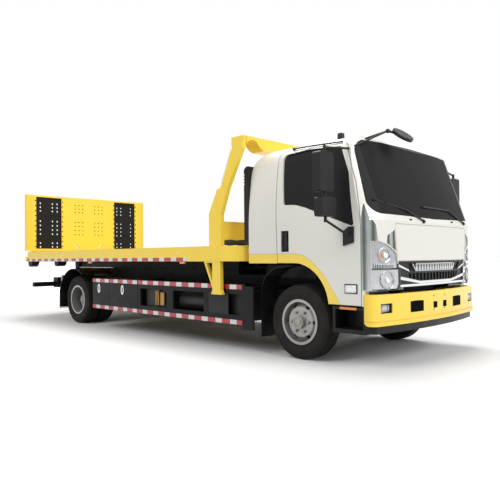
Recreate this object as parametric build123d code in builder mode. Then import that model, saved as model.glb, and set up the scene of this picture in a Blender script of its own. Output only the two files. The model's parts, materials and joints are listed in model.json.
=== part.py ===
from build123d import *
import os
from math import atan2, cos, degrees, hypot, radians, sin

os.makedirs("parts", exist_ok=True)

# Driving dimensions, millimetres. X is measured from the front axle, Y to the left, Z from the ground
wheelbase = 4750
front_overhang = 1055
rear_overhang = 1740
overall_length = front_overhang + wheelbase + rear_overhang
front_axle_x = overall_length / 2 - front_overhang
rear_axle_x = -wheelbase

tyre_r = 388
tyre_half_w = 116
axle_z = 388
bead_r = 224
front_wheel_y = 895
rear_outer_y = 911
rear_inner_y = 643
kingpin_y = 760
arm_end = (-198, 690)

rail_y = 425
rail_flange = 70
rail_web = 8
rail_z0 = 620
rail_z1 = 840
rail_front = 830
rail_rear = rear_axle_x - 1200
rail_in = rail_y - rail_flange
web_in = rail_y - rail_web
subframe_top = 900

cab_half_w = 1080
cab_rear = -650
cab_wall = 60
cab_floor_z = 997
arch_r = 432
glass_depth = 12
skin_depth = 25
lamp_depth = 45
door_depth = 70
tilt_pivot = (950, 800)

bed_front = -700
bed_rear = rear_axle_x - 1480
bed_half_w = 1225
bed_corner_r = 300
bed_low = 1020
deck_z = 1197
load_z = 1200
bed_pivot = (rear_axle_x - 1100, 870)
tilt_frame_front = -1500
tilt_frame_rear = rear_axle_x - 1155
tilt_frame_z0 = 905
tilt_frame_z1 = 1010
slide_z = 978
rod_end_x = rear_axle_x - 218

post_y0 = bed_half_w - 80
post_y1 = bed_half_w - 25

ramp_axis = (bed_rear - 32, 1190)
ramp_top = 2245
ramp_half_w = 1250
tread_y0 = ramp_half_w - 685
tread_y1 = ramp_half_w - 190
hinge_y = min(bed_half_w, ramp_half_w) - 95

skirt_y = 1145
skirt_t = 23
skirt_in = skirt_y - skirt_t
skirt_z0 = 300
skirt_z1 = 765
box_rear = rear_axle_x + 740
box_front = rear_axle_x + 1978
box_split = rear_axle_x + 1226
guard_rear = box_front + 7
guard_front = -660

lift_pivot = (rear_axle_x - 790, 600)
swivel_x = rear_axle_x - rear_overhang + 90

cyl_base = (rear_axle_x + 1400, 660)
cyl_eye = (rear_axle_x + 2300, 955)
cyl_y = 250
cyl_len = hypot(cyl_eye[0] - cyl_base[0], cyl_eye[1] - cyl_base[1])
cyl_angle = degrees(atan2(cyl_eye[1] - cyl_base[1], cyl_eye[0] - cyl_base[0]))

nodes = {}
sides = {"left": 1, "right": -1}


def block(x0, x1, y0, y1, z0, z1, mode=Mode.ADD):
    with Locations(((x0 + x1) / 2, (y0 + y1) / 2, (z0 + z1) / 2)):
        Box(abs(x1 - x0), abs(y1 - y0), abs(z1 - z0), mode=mode)


def bar(p, q, r, mode=Mode.ADD):
    a = Vector(*p)
    b = Vector(*q)
    with Locations(Plane(origin=a, z_dir=b - a)):
        Cylinder(r, (b - a).length, align=(Align.CENTER, Align.CENTER, Align.MIN), mode=mode)


def across(x, y0, y1, z, r, mode=Mode.ADD):
    bar((x, y0, z), (x, y1, z), r, mode)


def facing_side(y):
    return Plane((0, y, 0), x_dir=(1, 0, 0), z_dir=(0, -1, 0))


def facing_front(x):
    return Plane((x, 0, 0), x_dir=(0, 1, 0), z_dir=(1, 0, 0))


def plate(plane, points, amount, mode=Mode.ADD):
    with BuildSketch(plane) as flat:
        with BuildLine():
            Polyline(*points, close=True)
        make_face()
    extrude(flat.sketch, amount=amount, mode=mode)


def plate_xz(points, y0, y1, mode=Mode.ADD):
    plate(facing_side(y0), points, y0 - y1, mode)


def plate_yz(points, x0, x1, mode=Mode.ADD):
    plate(facing_front(x0), points, x1 - x0, mode)


def plate_xy(points, z0, z1, mode=Mode.ADD):
    plate(Plane.XY.offset(z0), points, z1 - z0, mode)


# A plate whose corners are rounded: each corner is across, up, radius
def rounded(plane, corners, amount, mode=Mode.ADD):
    with BuildSketch(plane) as flat:
        with BuildLine():
            FilletPolyline(*[(u, v) for u, v, r in corners], radius=[r for u, v, r in corners], close=True)
        make_face()
    extrude(flat.sketch, amount=amount, mode=mode)


def both_halves(points):
    return list(points) + [(-y, z) for y, z in reversed(points)]


# Outer form of the cab, drawn inset by i for the hollow and the panels; drop lowers its underside
def cab_form(i, drop=0):
    foot = i - drop
    w = cab_half_w - i
    r = cab_rear + i
    side = 0.7 * i
    top = 0.8 * i
    corner = (938 - side, cab_half_w - 125 - side)
    brow = (987 - i, cab_half_w - 317)
    with BuildPart() as form:
        for z0, height, lean in ((560, 840, 0), (1400, 1000, -0.344)):
            with BuildSketch(Plane.XY.offset(z0)):
                with BuildLine():
                    Polyline((830, -w), (r, -w), (r, w), (830, w))
                    ThreePointArc((830, w), corner, brow)
                    ThreePointArc(brow, (1020 - i, 0), (brow[0], -brow[1]))
                    ThreePointArc((brow[0], -brow[1]), (corner[0], -corner[1]), (830, -w))
                make_face()
            extrude(amount=height * hypot(1, lean), dir=(lean, 0, 1))
        with BuildSketch(Plane.XZ):
            with BuildLine():
                Line((r, cab_floor_z + i), (r, 1980))
                ThreePointArc((r, 1980), (-575 + side, 2172 - side), (-400, 2252 - i))
                Line((-400, 2252 - i), (100, 2312 - i))
                Line((100, 2312 - i), (480, 2312 - i))
                ThreePointArc((480, 2312 - i), (640 - 0.6 * i, 2272 - top), (735 - top, 2195 - top))
                Polyline((735 - top, 2195 - top), (1150, 1900 - top), (1150, 745 + foot), (835 - i, 745 + foot))
                Polyline((835 - i, 745 + foot), (835 - i, 600 + foot), (arch_r + 2 + i, 600 + foot))
                ThreePointArc((arch_r + 2 + i, 600 + foot), (306 + side, 870 + side), (0, cab_floor_z + i))
                Line((0, cab_floor_z + i), (r, cab_floor_z + i))
            make_face()
        extrude(amount=1400, both=True, mode=Mode.INTERSECT)
        with BuildSketch(Plane.YZ):
            side_section(i)
        extrude(amount=1600, both=True, mode=Mode.INTERSECT)
    return form.part


# Section of the cab across its width: upright below, drawn in towards the roof
def side_section(i):
    w = cab_half_w - i
    shoulder = (cab_half_w - 72 - i, 2075)
    eave = (cab_half_w - 280, 2258 - i)
    bend = (cab_half_w - 140 - 0.75 * i, 2190 - 0.7 * i)
    waist = (cab_half_w - 22 - i, 1760)
    with BuildLine() as outline:
        Polyline((-w, 1400), (-w, 500), (w, 500), (w, 1400))
        ThreePointArc((w, 1400), waist, shoulder)
        ThreePointArc(shoulder, bend, eave)
        ThreePointArc(eave, (0, 2330 - i), (-eave[0], eave[1]))
        ThreePointArc((-eave[0], eave[1]), (-bend[0], bend[1]), (-shoulder[0], shoulder[1]))
        ThreePointArc((-shoulder[0], shoulder[1]), (-waist[0], waist[1]), (-w, 1400))
    make_face(outline.edges())


# Outline of a door, drawn in by g from its opening
def door_outline(g):
    low = cab_floor_z + g
    rear = -229 + 1.6 * g
    front = 820 - 1.6 * g
    sill = (arch_r + 2 + g, 600 + g)
    edge = (
        (0, low, 0),
        (rear, low, 0),
        (rear - 37, 2202 - g, 75),
        (front - 207, 2177 - g, 90),
        (front - 74, 1776, 600),
        (front - 14, 1500, 400),
        (front, 1330, 300),
        (front, 600 + g, 0),
        (*sill, 0),
    )
    with BuildLine() as outline:
        Polyline(edge[0][:2], edge[1][:2])
        FilletPolyline(*[(x, z) for x, z, r in edge[1:8]], radius=[r for x, z, r in edge[2:7]])
        Polyline(edge[7][:2], edge[8][:2])
        ThreePointArc(sill, (306 + 0.7 * g, 870 + 0.7 * g), (0, low))
    make_face(outline.edges())


# Openings and panels, each corner as across, up, radius
window_corners = (
    (-143, 1608, 30),
    (-203, 2150, 50),
    (100, 2174, 300),
    (545, 2142, 60),
    (668, 1864, 300),
    (742, 1340, 25),
    (140, 1564, 300),
    (20, 1598, 300),
)
screen_top = cab_half_w - 105
screen_foot = cab_half_w - 52
screen_corners = (
    (-screen_top, 2192, 150),
    (0, 2216, 400),
    (screen_top, 2192, 150),
    (screen_foot, 1462, 120),
    (0, 1440, 400),
    (-screen_foot, 1462, 120),
)

# Front of the cab, across and up, for one side
outboard = cab_half_w + 120
lamp_y = cab_half_w - 54
upper_lamp = (
    (lamp_y, 950),
    (lamp_y, 1203),
    (962, 1203),
    (886, 1178),
    (742, 1091),
    (736, 1060),
    (732, 1014),
    (720, 1010),
    (720, 950),
)
lower_lamp = ((lamp_y, 748), (lamp_y, 937), (694, 937), (690, 800), (720, 748))
lamp_gap = ((lamp_y, 930), (lamp_y, 955), (724, 955), (696, 930))
corner_edge = (
    (outboard, 748),
    (lamp_y + 2, 748),
    (lamp_y + 2, 1205),
    (967, 1205),
    (985, 1355),
    (lamp_y + 4, 1430),
    (lamp_y + 10, 1553),
    (outboard, 1553),
)
scoop = ((744, 1104), (884, 1187), (874, 1258), (795, 1300), (766, 1314))
panel_zone = ((764, 1372), (726, 1016))
panel_edge = ((760, 1368), (722, 1020))
grille_edge = ((714, 1014), (714, 944), (688, 940), (684, 798), (700, 765))
mesh_pocket = ((470, 997), (400, 916))
side_pocket = ((486, 997), (612, 997), (530, 930), (424, 916))
slat_pocket = ((550, 894), (485, 822))
chrome_wedge = ((712, 986), (712, 962), (532, 912), (545, 932))
moustache = ((682, 868), (340, 816), (340, 792), (682, 838))
lower_bar = ((684, 790), (690, 768))


def on_front(points, mode=Mode.ADD):
    for s in (1, -1):
        plate_yz([(s * y, z) for y, z in points], 820, 1200, mode)


outer_form = cab_form(0)
glass_form = cab_form(glass_depth)
skin_form = cab_form(skin_depth, 100)
lamp_form = cab_form(lamp_depth, 100)
hollow_form = cab_form(cab_wall)

# Cab shell: floor, rear wall, roof and pillars, hollow, with the door, screen and rear window openings
with BuildPart() as hollow:
    add(hollow_form)
    block(-700, 1200, -700, 700, 500, 940, mode=Mode.SUBTRACT)

with BuildPart() as front_zones:
    plate_yz(both_halves(panel_zone), 820, 1200)
    on_front(corner_edge)
    on_front(scoop)
    add(skin_form, mode=Mode.SUBTRACT)

with BuildPart() as lamp_zones:
    plate_yz(both_halves(grille_edge), 820, 1200)
    for points in (upper_lamp, lower_lamp, lamp_gap):
        on_front(points)
    add(lamp_form, mode=Mode.SUBTRACT)

with BuildPart() as door_zone:
    with BuildSketch(Plane.XZ):
        door_outline(0)
    extrude(amount=1400, both=True)
    with BuildSketch(Plane.YZ):
        side_section(door_depth + 6)
    extrude(amount=1600, both=True, mode=Mode.SUBTRACT)
    block(-700, 1200, 180 - cab_half_w, cab_half_w - 180, 2000, 2400, mode=Mode.SUBTRACT)

with BuildPart() as cab_shell:
    add(outer_form)
    add(hollow.part, mode=Mode.SUBTRACT)
    block(-700, 1200, -640, 640, 500, 880, mode=Mode.SUBTRACT)
    add(door_zone.part, mode=Mode.SUBTRACT)
    add(front_zones.part, mode=Mode.SUBTRACT)
    add(lamp_zones.part, mode=Mode.SUBTRACT)
    rounded(facing_front(570), screen_corners, 700, mode=Mode.SUBTRACT)
    block(-700, -560, -620, 620, 1560, 1990, mode=Mode.SUBTRACT)
    for s in (1, -1):
        block(915, 945, s * 530, s * 560, 770, 880)
        across(tilt_pivot[0], s * 525, s * 565, tilt_pivot[1], 26)
        across(tilt_pivot[0], s * 520, s * 570, tilt_pivot[1], 20.06, mode=Mode.SUBTRACT)
nodes["cab_shell"] = cab_shell.part

with BuildPart() as cab_glass:
    rounded(facing_front(570), screen_corners, 700)
    add(outer_form, mode=Mode.INTERSECT)
    add(glass_form, mode=Mode.SUBTRACT)
    block(cab_rear, cab_rear + glass_depth, -620, 620, 1560, 1990)
nodes["cab_glass"] = cab_glass.part

# Front of the cab: panel, grille with its mesh, slats and bright trim, lamps, corners with the dark scoops
with BuildPart() as front_panel:
    plate_yz(both_halves(panel_edge), 820, 1200)
    add(outer_form, mode=Mode.INTERSECT)
    add(skin_form, mode=Mode.SUBTRACT)
nodes["front_panel"] = front_panel.part

with BuildPart() as grille_pockets:
    plate_yz(both_halves(mesh_pocket), 820, 1200)
    plate_yz(both_halves(slat_pocket), 820, 1200)
    on_front(side_pocket)
    for k in range(-4, 5):
        block(820, 1200, 46 * k * 2 - 5, 46 * k * 2 + 5, 900, 1000, mode=Mode.SUBTRACT)
    for z in (936, 957, 978):
        block(820, 1200, -480, 480, z - 4, z + 4, mode=Mode.SUBTRACT)
    for k in range(-7, 8):
        block(820, 1200, 68 * k - 9, 68 * k + 9, 815, 900, mode=Mode.SUBTRACT)
    add(skin_form, mode=Mode.SUBTRACT)

with BuildPart() as grille:
    plate_yz(both_halves(grille_edge), 820, 1200)
    add(glass_form, mode=Mode.INTERSECT)
    add(lamp_form, mode=Mode.SUBTRACT)
    add(grille_pockets.part, mode=Mode.SUBTRACT)
    for s in (1, -1):
        block(820, 984, s * 465, s * 585, 740, 850, mode=Mode.SUBTRACT)
nodes["grille"] = grille.part

with BuildPart() as grille_trim:
    on_front(chrome_wedge)
    on_front(moustache)
    block(820, 1200, -342, 342, 792, 816)
    plate_yz(both_halves(lower_bar), 820, 1200)
    add(outer_form, mode=Mode.INTERSECT)
    add(glass_form, mode=Mode.SUBTRACT)
nodes["grille_trim"] = grille_trim.part

with BuildPart() as headlamps:
    on_front(upper_lamp)
    on_front(lower_lamp)
    add(glass_form, mode=Mode.INTERSECT)
    add(lamp_form, mode=Mode.SUBTRACT)
nodes["headlamps"] = headlamps.part

with BuildPart() as corner_panels:
    on_front(corner_edge)
    add(outer_form, mode=Mode.INTERSECT)
    with BuildPart(mode=Mode.PRIVATE) as inlay:
        on_front(scoop)
        add(glass_form, mode=Mode.INTERSECT)
    add(inlay.part)
    add(skin_form, mode=Mode.SUBTRACT)
nodes["corner_panels"] = corner_panels.part

# Inside the cab: dashboard with steering wheel, and seats
with BuildPart() as dashboard:
    dash_edge = cab_half_w - 220
    plate_xz([(560, 1200), (600, 1390), (840, 1400), (860, 1330), (860, 1180)], -dash_edge, dash_edge)
    block(580, 840, -160, 160, 940, 1190)
    bar((610, 480, 1314), (455, 480, 1392), 28)
    with Locations(Plane(origin=(455, 480, 1392), z_dir=(-0.894, 0, 0.447))):
        Torus(205, 16)
        Box(410, 40, 14)
        Box(40, 410, 14)
        Cylinder(50, 40)
nodes["dashboard"] = dashboard.part

seat_back = ((-340, 1290), (-260, 1290), (-330, 1900), (-450, 1900), (-430, 1290))
with BuildPart() as seats:
    for y, half_w in ((620, 260), (0, 190), (-620, 260)):
        block(-340, 130, y - half_w, y + half_w, cab_floor_z + cab_wall, 1290)
        plate_xz(seat_back, y - half_w, y + half_w)
nodes["seats"] = seats.part

# Front mirror on two arms from the right pillar, and the air intake behind the cab
arm_meet = (872, 400 - cab_half_w, 2278)
with BuildPart() as front_mirror:
    bar((690, 264 - cab_half_w, 2206), arm_meet, 11)
    bar((680, 110 - cab_half_w, 2120), arm_meet, 9)
    with Locations(arm_meet):
        Sphere(22)
    bar(arm_meet, (940, 530 - cab_half_w, 2250), 12)
    with Locations(Plane(origin=(950, 545 - cab_half_w, 2246), z_dir=(0.55, -0.06, 0.66))):
        Cylinder(112, 30)
    add(outer_form, mode=Mode.SUBTRACT)
nodes["front_mirror"] = front_mirror.part

intake_y0 = cab_half_w - 95
intake_y1 = cab_half_w - 2
intake_edge = (
    (cab_rear, -intake_y0),
    (cab_rear - 48, -intake_y0),
    (cab_rear - 74, 18 - intake_y1),
    (cab_rear - 74, -intake_y1),
    (cab_rear, -intake_y1),
)
with BuildPart() as air_intake:
    plate_xy(intake_edge, 1215, 2080)
    plate_xz([(-740, 2030), (-690, 2078), (-640, 2090), (-740, 2090)], -1400, 0, mode=Mode.SUBTRACT)
    for z in (1880, 1915, 1950, 1985):
        block(-750, -712, -1400, 0, z, z + 12, mode=Mode.SUBTRACT)
    add(outer_form, mode=Mode.SUBTRACT)
nodes["air_intake"] = air_intake.part

# Doors, their glass and their mirrors
with BuildPart() as door_right:
    with BuildSketch(Plane.XZ):
        door_outline(5)
    extrude(amount=1400)
    add(outer_form, mode=Mode.INTERSECT)
    with BuildSketch(Plane.YZ):
        side_section(door_depth)
    extrude(amount=1600, both=True, mode=Mode.SUBTRACT)
    block(-700, 1200, 175 - cab_half_w, 0, 2000, 2400, mode=Mode.SUBTRACT)
    rounded(facing_side(0), window_corners, 1400, mode=Mode.SUBTRACT)
    block(-171, -65, -cab_half_w - 20, 28 - cab_half_w, 1116, 1337, mode=Mode.SUBTRACT)

with BuildPart() as door_glass_right:
    rounded(facing_side(0), window_corners, 1400)
    with BuildSketch(Plane.YZ):
        side_section(22)
    extrude(amount=1600, both=True, mode=Mode.INTERSECT)
    with BuildSketch(Plane.YZ):
        side_section(30)
    extrude(amount=1600, both=True, mode=Mode.SUBTRACT)

mirror_y = -cab_half_w - 250
mirror_base = ((625, 1165), (742, 1195), (742, 1345), (690, 1345), (625, 1300))
with BuildPart() as mirror_right:
    plate_xz(mirror_base, -cab_half_w - 16, -cab_half_w)
    bar((602, mirror_y, 1380), (602, mirror_y, 2090), 15)
    bar((702, -cab_half_w - 6, 1250), (602, mirror_y, 1400), 12)
    bar((602, mirror_y, 2070), (640, 85 - cab_half_w, 2100), 11)
    with Locations((585, mirror_y - 5, 1845)):
        Box(95, 205, 370)
    with Locations((605, mirror_y - 5, 1522)):
        Box(100, 205, 180)
    outboard_edges = mirror_right.edges().filter_by(Axis.X).filter_by(lambda e: e.center().Y < mirror_y + 130)
    fillet(outboard_edges, 30)
    add(outer_form, mode=Mode.SUBTRACT)

for name, s in sides.items():
    for part_name, made in (("door", door_right), ("door_glass", door_glass_right), ("mirror", mirror_right)):
        with BuildPart() as handed:
            if s < 0:
                add(made.part)
            else:
                mirror(made.part, about=Plane.XZ)
        nodes[f"{part_name}_{name}"] = handed.part

# Chassis rails and cross-members
with BuildPart() as frame_rails:
    for s in (1, -1):
        block(rail_rear, rail_front, s * rail_y, s * rail_in, rail_z0, rail_z1)
        block(rail_rear, rail_front, s * web_in, s * (rail_in - 1), rail_z0 + 8, rail_z1 - 8, mode=Mode.SUBTRACT)
        for centre, reach in ((0, 600), (rear_axle_x, 650)):
            for d in (1, -1):
                block(centre + d * reach, centre + d * (reach + 80), s * rail_in, s * rail_y, 545, rail_z0)
nodes["frame_rails"] = frame_rails.part

cross_members = (
    (760, 690, 820),
    (-1390, 690, 820),
    (-0.453 * wheelbase, 690, 820),
    (rear_axle_x + 1000, 690, 820),
    (rear_axle_x + 500, 690, 820),
    (rear_axle_x - 580, 690, 820),
    (rear_axle_x - 1155, 785, 830),
)
tilt_ear = ((800, 700), (800, 828), (945, 826), (966, 816), (972, 800), (966, 784), (945, 774), (860, 700))
lift_plate = ((170, 90), (170, 220), (40, 220), (-60, 40), (-60, -60), (60, -60))
with BuildPart() as frame_crossmembers:
    for x, z0, z1 in cross_members:
        block(x - 40, x + 40, -web_in, web_in, z0, z1)
    across(cyl_base[0], -web_in, web_in, cyl_base[1], 25)
    for s in (1, -1):
        plate_xz([(lift_pivot[0] + x, lift_pivot[1] + z) for x, z in lift_plate], s * 90, s * 120)
    across(lift_pivot[0], -120, 120, lift_pivot[1], 25)
    block(-640, -560, -rail_y, rail_y, 935, 985)
    for s in (1, -1):
        block(-640, -560, s * rail_in, s * rail_y, rail_z1, 935)
        block(700, 820, s * rail_y, s * 515, 660, 760)
        plate_xz(tilt_ear, s * 480, s * 515)
        block(700, 820, s * 480, s * 515, 700, 830)
        across(tilt_pivot[0], s * 500, s * 570, tilt_pivot[1], 20)
nodes["frame_crossmembers"] = frame_crossmembers.part

with BuildPart() as subframe:
    for s in (1, -1):
        block(rail_rear, tilt_frame_front, s * rail_in, s * rail_y, rail_z1, subframe_top)
        across(bed_pivot[0], s * 400, s * 480, bed_pivot[1], 25)
nodes["subframe"] = subframe.part

# Axles, springs, engine and propeller shaft
beam_half = ((722, 340), (722, 430), (690, 430), (560, 400))
with BuildPart() as front_axle:
    plate_yz(both_halves(beam_half) + [(-690, 340), (-560, 300), (560, 300), (690, 340)], -40, 40)
    for s in (1, -1):
        bar((0, s * kingpin_y, axle_z - 58), (0, s * kingpin_y, axle_z + 58), 37)
        block(-30, 30, s * 715, s * 750, 345, 428)
        bar((0, s * kingpin_y, axle_z - 70), (0, s * kingpin_y, axle_z + 70), 18.06, mode=Mode.SUBTRACT)
nodes["front_axle"] = front_axle.part

with BuildPart() as leaf_springs:
    for centre, reach, low, thick in ((0, 600, 400, 45), (rear_axle_x, 650, axle_z + 75, 60)):
        for s in (1, -1):
            with BuildSketch(facing_side(s * rail_in)):
                with BuildLine():
                    ThreePointArc((centre - reach, 555), (centre, low), (centre + reach, 555))
                    Line((centre + reach, 555), (centre + reach, 555 + thick))
                    ThreePointArc((centre + reach, 555 + thick), (centre, low + thick), (centre - reach, 555 + thick))
                    Line((centre - reach, 555 + thick), (centre - reach, 555))
                make_face()
            extrude(amount=-s * rail_flange)
nodes["leaf_springs"] = leaf_springs.part

with BuildPart() as rear_axle:
    across(rear_axle_x, -600, 600, axle_z, 75)
    for s in (1, -1):
        across(rear_axle_x, s * 560, s * 880, axle_z, 40)
    with Locations((rear_axle_x, 0, axle_z)):
        Sphere(185)
    bar((rear_axle_x + 50, 0, 520), (rear_axle_x + 250, 0, 520), 60)
    bar((rear_axle_x + 250, 0, 520), (-1300, 0, 520), 45)
nodes["rear_axle"] = rear_axle.part

with BuildPart() as engine:
    block(-820, 380, -330, 330, 470, 860)
    block(-1300, -820, -180, 180, 440, 740)
    for s in (1, -1):
        block(-120, 20, s * 330, s * web_in, 640, 700)
        block(620, 680, s * 330, s * web_in, 640, 690)
    block(600, 690, -330, 330, 520, 860)
nodes["engine"] = engine.part


# Bumper in plan, drawn in by k: a lower lip stands a little proud of the face above it
def bumper_plan(k, rear=840):
    w = cab_half_w + 5 - k
    with BuildLine() as outline:
        ThreePointArc((960 - k, 55 - w), (front_overhang - k, 0), (960 - k, w - 55))
        ThreePointArc((960 - k, w - 55), (925 - k, w - 17), (880 - k, w))
        Polyline((880 - k, w), (rear, w), (rear, -w), (880 - k, -w))
        ThreePointArc((880 - k, -w), (925 - k, 17 - w), (960 - k, 55 - w))
    make_face(outline.edges())


bumper_bands = ((420, 458, 0), (458, 466, 14), (466, 710, 8))
bumper_openings = ((903, 80, 535, 625), (440, 65, 520, 630), (302, 17, 535, 600), (212, 17, 535, 600))
with BuildPart() as bumper:
    for z0, z1, k in bumper_bands:
        with BuildSketch(Plane.XY.offset(z0)):
            bumper_plan(k)
        extrude(amount=z1 - z0)
    with BuildSketch(Plane.XY.offset(410)):
        bumper_plan(50, 780)
    extrude(amount=310, mode=Mode.SUBTRACT)
    foot = ((830, 410), (900, 410), (890, 420), (865, 427), (847, 445), (840, 470), (830, 470))
    plate_xz(foot, -1300, 1300, mode=Mode.SUBTRACT)
    for y, half_w, z0, z1 in bumper_openings:
        for s in (1, -1):
            block(880, 1100, s * y - half_w, s * y + half_w, z0, z1, mode=Mode.SUBTRACT)
    for y, z in ((120, 660), (120, 520)):
        for s in (1, -1):
            bar((900, s * y, z), (1100, s * y, z), 11, mode=Mode.SUBTRACT)
    for s in (1, -1):
        block(rail_front, 1005, s * 365, s * 420, 640, 705)
nodes["bumper"] = bumper.part

valance_w = cab_half_w - 20
with BuildPart() as valance:
    for k, mode in ((0, Mode.ADD), (30, Mode.SUBTRACT)):
        w = valance_w - k
        with BuildSketch(Plane.XY.offset(345)):
            with BuildLine():
                ThreePointArc((930 - k, 50 - w), (1025 - k, 0), (930 - k, w - 50))
                Polyline((930 - k, w - 50), (840 - k, w), (840 - k, -w), (930 - k, 50 - w))
            make_face()
        extrude(amount=75, mode=mode)
    for s in (1, -1):
        block(475, 840, s * 800, s * (valance_w + 2), 335, 585)
        block(505, 820, s * 850, s * (valance_w + 40), 375, 560, mode=Mode.SUBTRACT)
nodes["valance_steps"] = valance.part

# Mudguards
guard_out = ((-505, 190), (-505, 720), (-440, 860), (-300, 950), (-60, 980))
guard_in = ((-60, 972), (-297, 942), (-434, 855), (-497, 718), (-497, 190))
with BuildPart() as front_mudguards:
    for s in (1, -1):
        plate_xz(guard_out + guard_in, s * 780, s * (cab_half_w - 35))
        block(-525, -505, s * rail_y, s * 800, 690, 730)
nodes["front_mudguards"] = front_mudguards.part

fender_r = 505


def round_wheel(r, a):
    return (rear_axle_x + r * cos(radians(a)), axle_z + r * sin(radians(a)))


with BuildPart() as rear_mudguards:
    for s in (1, -1):
        inner = [round_wheel(fender_r, a) for a in (56, 110, 166)]
        outer = [round_wheel(fender_r + 8, a) for a in (166, 110, 56)]
        with BuildSketch(facing_side(s * 530)):
            with BuildLine():
                ThreePointArc(*inner)
                Polyline(inner[2], (inner[2][0], 223), (outer[0][0], 223), outer[0])
                ThreePointArc(*outer)
                Line(outer[2], inner[0])
            make_face()
        extrude(amount=-s * 560)
        block(rear_axle_x - 40, rear_axle_x + 40, s * rail_y, s * 760, 868, 893.5)
nodes["rear_mudguards"] = rear_mudguards.part


# Side guards with their windows, tool boxes with doors, and what stands behind the guards
def along_guard(share):
    return guard_rear + share * (guard_front - guard_rear)


guard_windows = ((0.026, 0.330), (0.378, 0.667), (0.705, 0.962))
with BuildPart() as side_guards:
    for s in (1, -1):
        block(guard_rear, guard_front, s * skirt_in, s * skirt_y, skirt_z0, skirt_z1)
        block(guard_front - 40, guard_front + 130, s * skirt_in, s * skirt_y, 262, 742)
        for a, b in guard_windows:
            x0, x1 = along_guard(a), along_guard(b)
            block(x0, x1, s * (skirt_y - 40), s * (skirt_y + 10), 415, 650, mode=Mode.SUBTRACT)
        for share in (0.344, 0.677, 0.981):
            x = along_guard(share)
            block(x - 20, x + 20, s * rail_y, s * skirt_in, 690, 730)
nodes["side_guards"] = side_guards.part

with BuildPart() as tool_boxes:
    for s in (1, -1):
        block(box_rear, box_front, s * 700, s * (skirt_in - 1), skirt_z0, skirt_z1)
        block(box_rear + 20, box_front - 20, s * 720, s * skirt_y, skirt_z0 + 20, skirt_z1 - 20, mode=Mode.SUBTRACT)
        for x in (box_rear + 110, box_front - 128):
            block(x - 30, x + 30, s * rail_y, s * 700, 690, 740)
nodes["tool_boxes"] = tool_boxes.part

for name, s in sides.items():
    for place, x0, x1 in (("rear", box_rear + 2, box_split - 3), ("front", box_split + 3, box_front - 2)):
        with BuildPart() as tool_door:
            block(x0, x1, s * skirt_in, s * skirt_y, skirt_z0 + 6, skirt_z1 - 3)
        nodes[f"tool_door_{place}_{name}"] = tool_door.part

# Boxes and tanks behind the guards: side, ends as shares of the guard, inner and outer face
equipment = (
    (-1, 0.7245, 0.9525, 640, 1070),
    (-1, 0.0546, 0.3064, 800, 1080),
    (1, 0.1259, 0.6485, 600, 1080),
    (1, 0.7245, 0.9525, 640, 1070),
)
with BuildPart() as side_equipment:
    for s, a, b, y0, y1 in equipment:
        x0, x1 = along_guard(a), along_guard(b)
        block(x0, x1, s * y0, s * y1, 330, 660)
        block((x0 + x1) / 2 - 60, (x0 + x1) / 2 + 60, s * rail_y, s * y0, 625, 655)
    x0, x1 = along_guard(0.387), along_guard(0.653)
    bar((x0, -930, 520), (x1, -930, 520), 125)
    block((x0 + x1) / 2 - 30, (x0 + x1) / 2 + 30, -rail_y, -930, 625, 643)
nodes["side_equipment"] = side_equipment.part

with BuildPart() as tail_lamps:
    for s in (1, -1):
        block(rail_rear - 45, rail_rear, s * 360, s * 700, 640, 760)
nodes["tail_lamps"] = tail_lamps.part

# Steering knuckles and tie rod
knuckle_arm = ((-20, 742), (-20, 778), (-190, 716), (-220, 704), (-220, 676), (-190, 668))
for name, s in sides.items():
    end = (arm_end[0], s * arm_end[1])
    with BuildPart() as knuckle:
        bar((0, s * kingpin_y, axle_z - 92), (0, s * kingpin_y, axle_z + 92), 18)
        for z0, z1 in ((axle_z - 92, axle_z - 66), (axle_z + 66, axle_z + 92)):
            bar((0, s * kingpin_y, z0), (0, s * kingpin_y, z1), 38)
            block(-38, 38, s * kingpin_y, s * 820, z0, z1)
        block(-60, 60, s * 804, s * 820, axle_z - 92, axle_z + 92)
        plate_xy([(x, s * y) for x, y in knuckle_arm], axle_z - 92, axle_z - 68)
        if s > 0:
            bar((*end, axle_z - 100), (*end, axle_z - 60), 12.06, mode=Mode.SUBTRACT)
        across(0, s * 815, s * 978, axle_z, 32)
    nodes[f"knuckle_{name}"] = knuckle.part

rod_z = axle_z - 109
with BuildPart() as tie_rod:
    across(arm_end[0], -arm_end[1], arm_end[1], rod_z, 14)
    for y in (arm_end[1], -arm_end[1]):
        bar((arm_end[0], y, rod_z - 17), (arm_end[0], y, rod_z + 16), 22)
    bar((*arm_end, rod_z - 17), (*arm_end, rod_z + 43), 12)
nodes["tie_rod"] = tie_rod.part

# Wheels. Profiles are radius against distance outboard of the tyre's middle
tyre_half = (
    (tyre_r, 70),
    (tyre_r - 12, tyre_half_w - 18),
    (tyre_r - 43, tyre_half_w - 3),
    (300, tyre_half_w),
    (242, tyre_half_w - 21),
    (bead_r + 0.3, tyre_half_w - 28),
)
tyre_profile = tuple((r, -d) for r, d in reversed(tyre_half)) + tyre_half
barrel_half = ((bead_r, 92), (236, 97), (236, 104), (208, 104))
barrel_profile = tuple((r, -d) for r, d in reversed(barrel_half)) + barrel_half
front_disc = ((32.06, 66), (70, 66), (150, 62), (209, 10), (209, 28), (158, 80), (70, 84), (70, 118), (32.06, 118))
front_hub = ((32.06, -70), (158, -70), (158, 0), (95, 10), (95, 70), (32.06, 70))
rear_disc = ((60, 0), (150, 0), (209, 46), (209, 64), (145, 16), (60, 16))
rear_hub = ((40.06, -170), (160, -170), (160, -40), (95, -30), (95, 95), (40.06, 95))
rear_cap = ((0, 110), (0, 150), (62, 150), (95, 95), (40.06, 95), (40.06, 110))
hand_holes = 6


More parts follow.
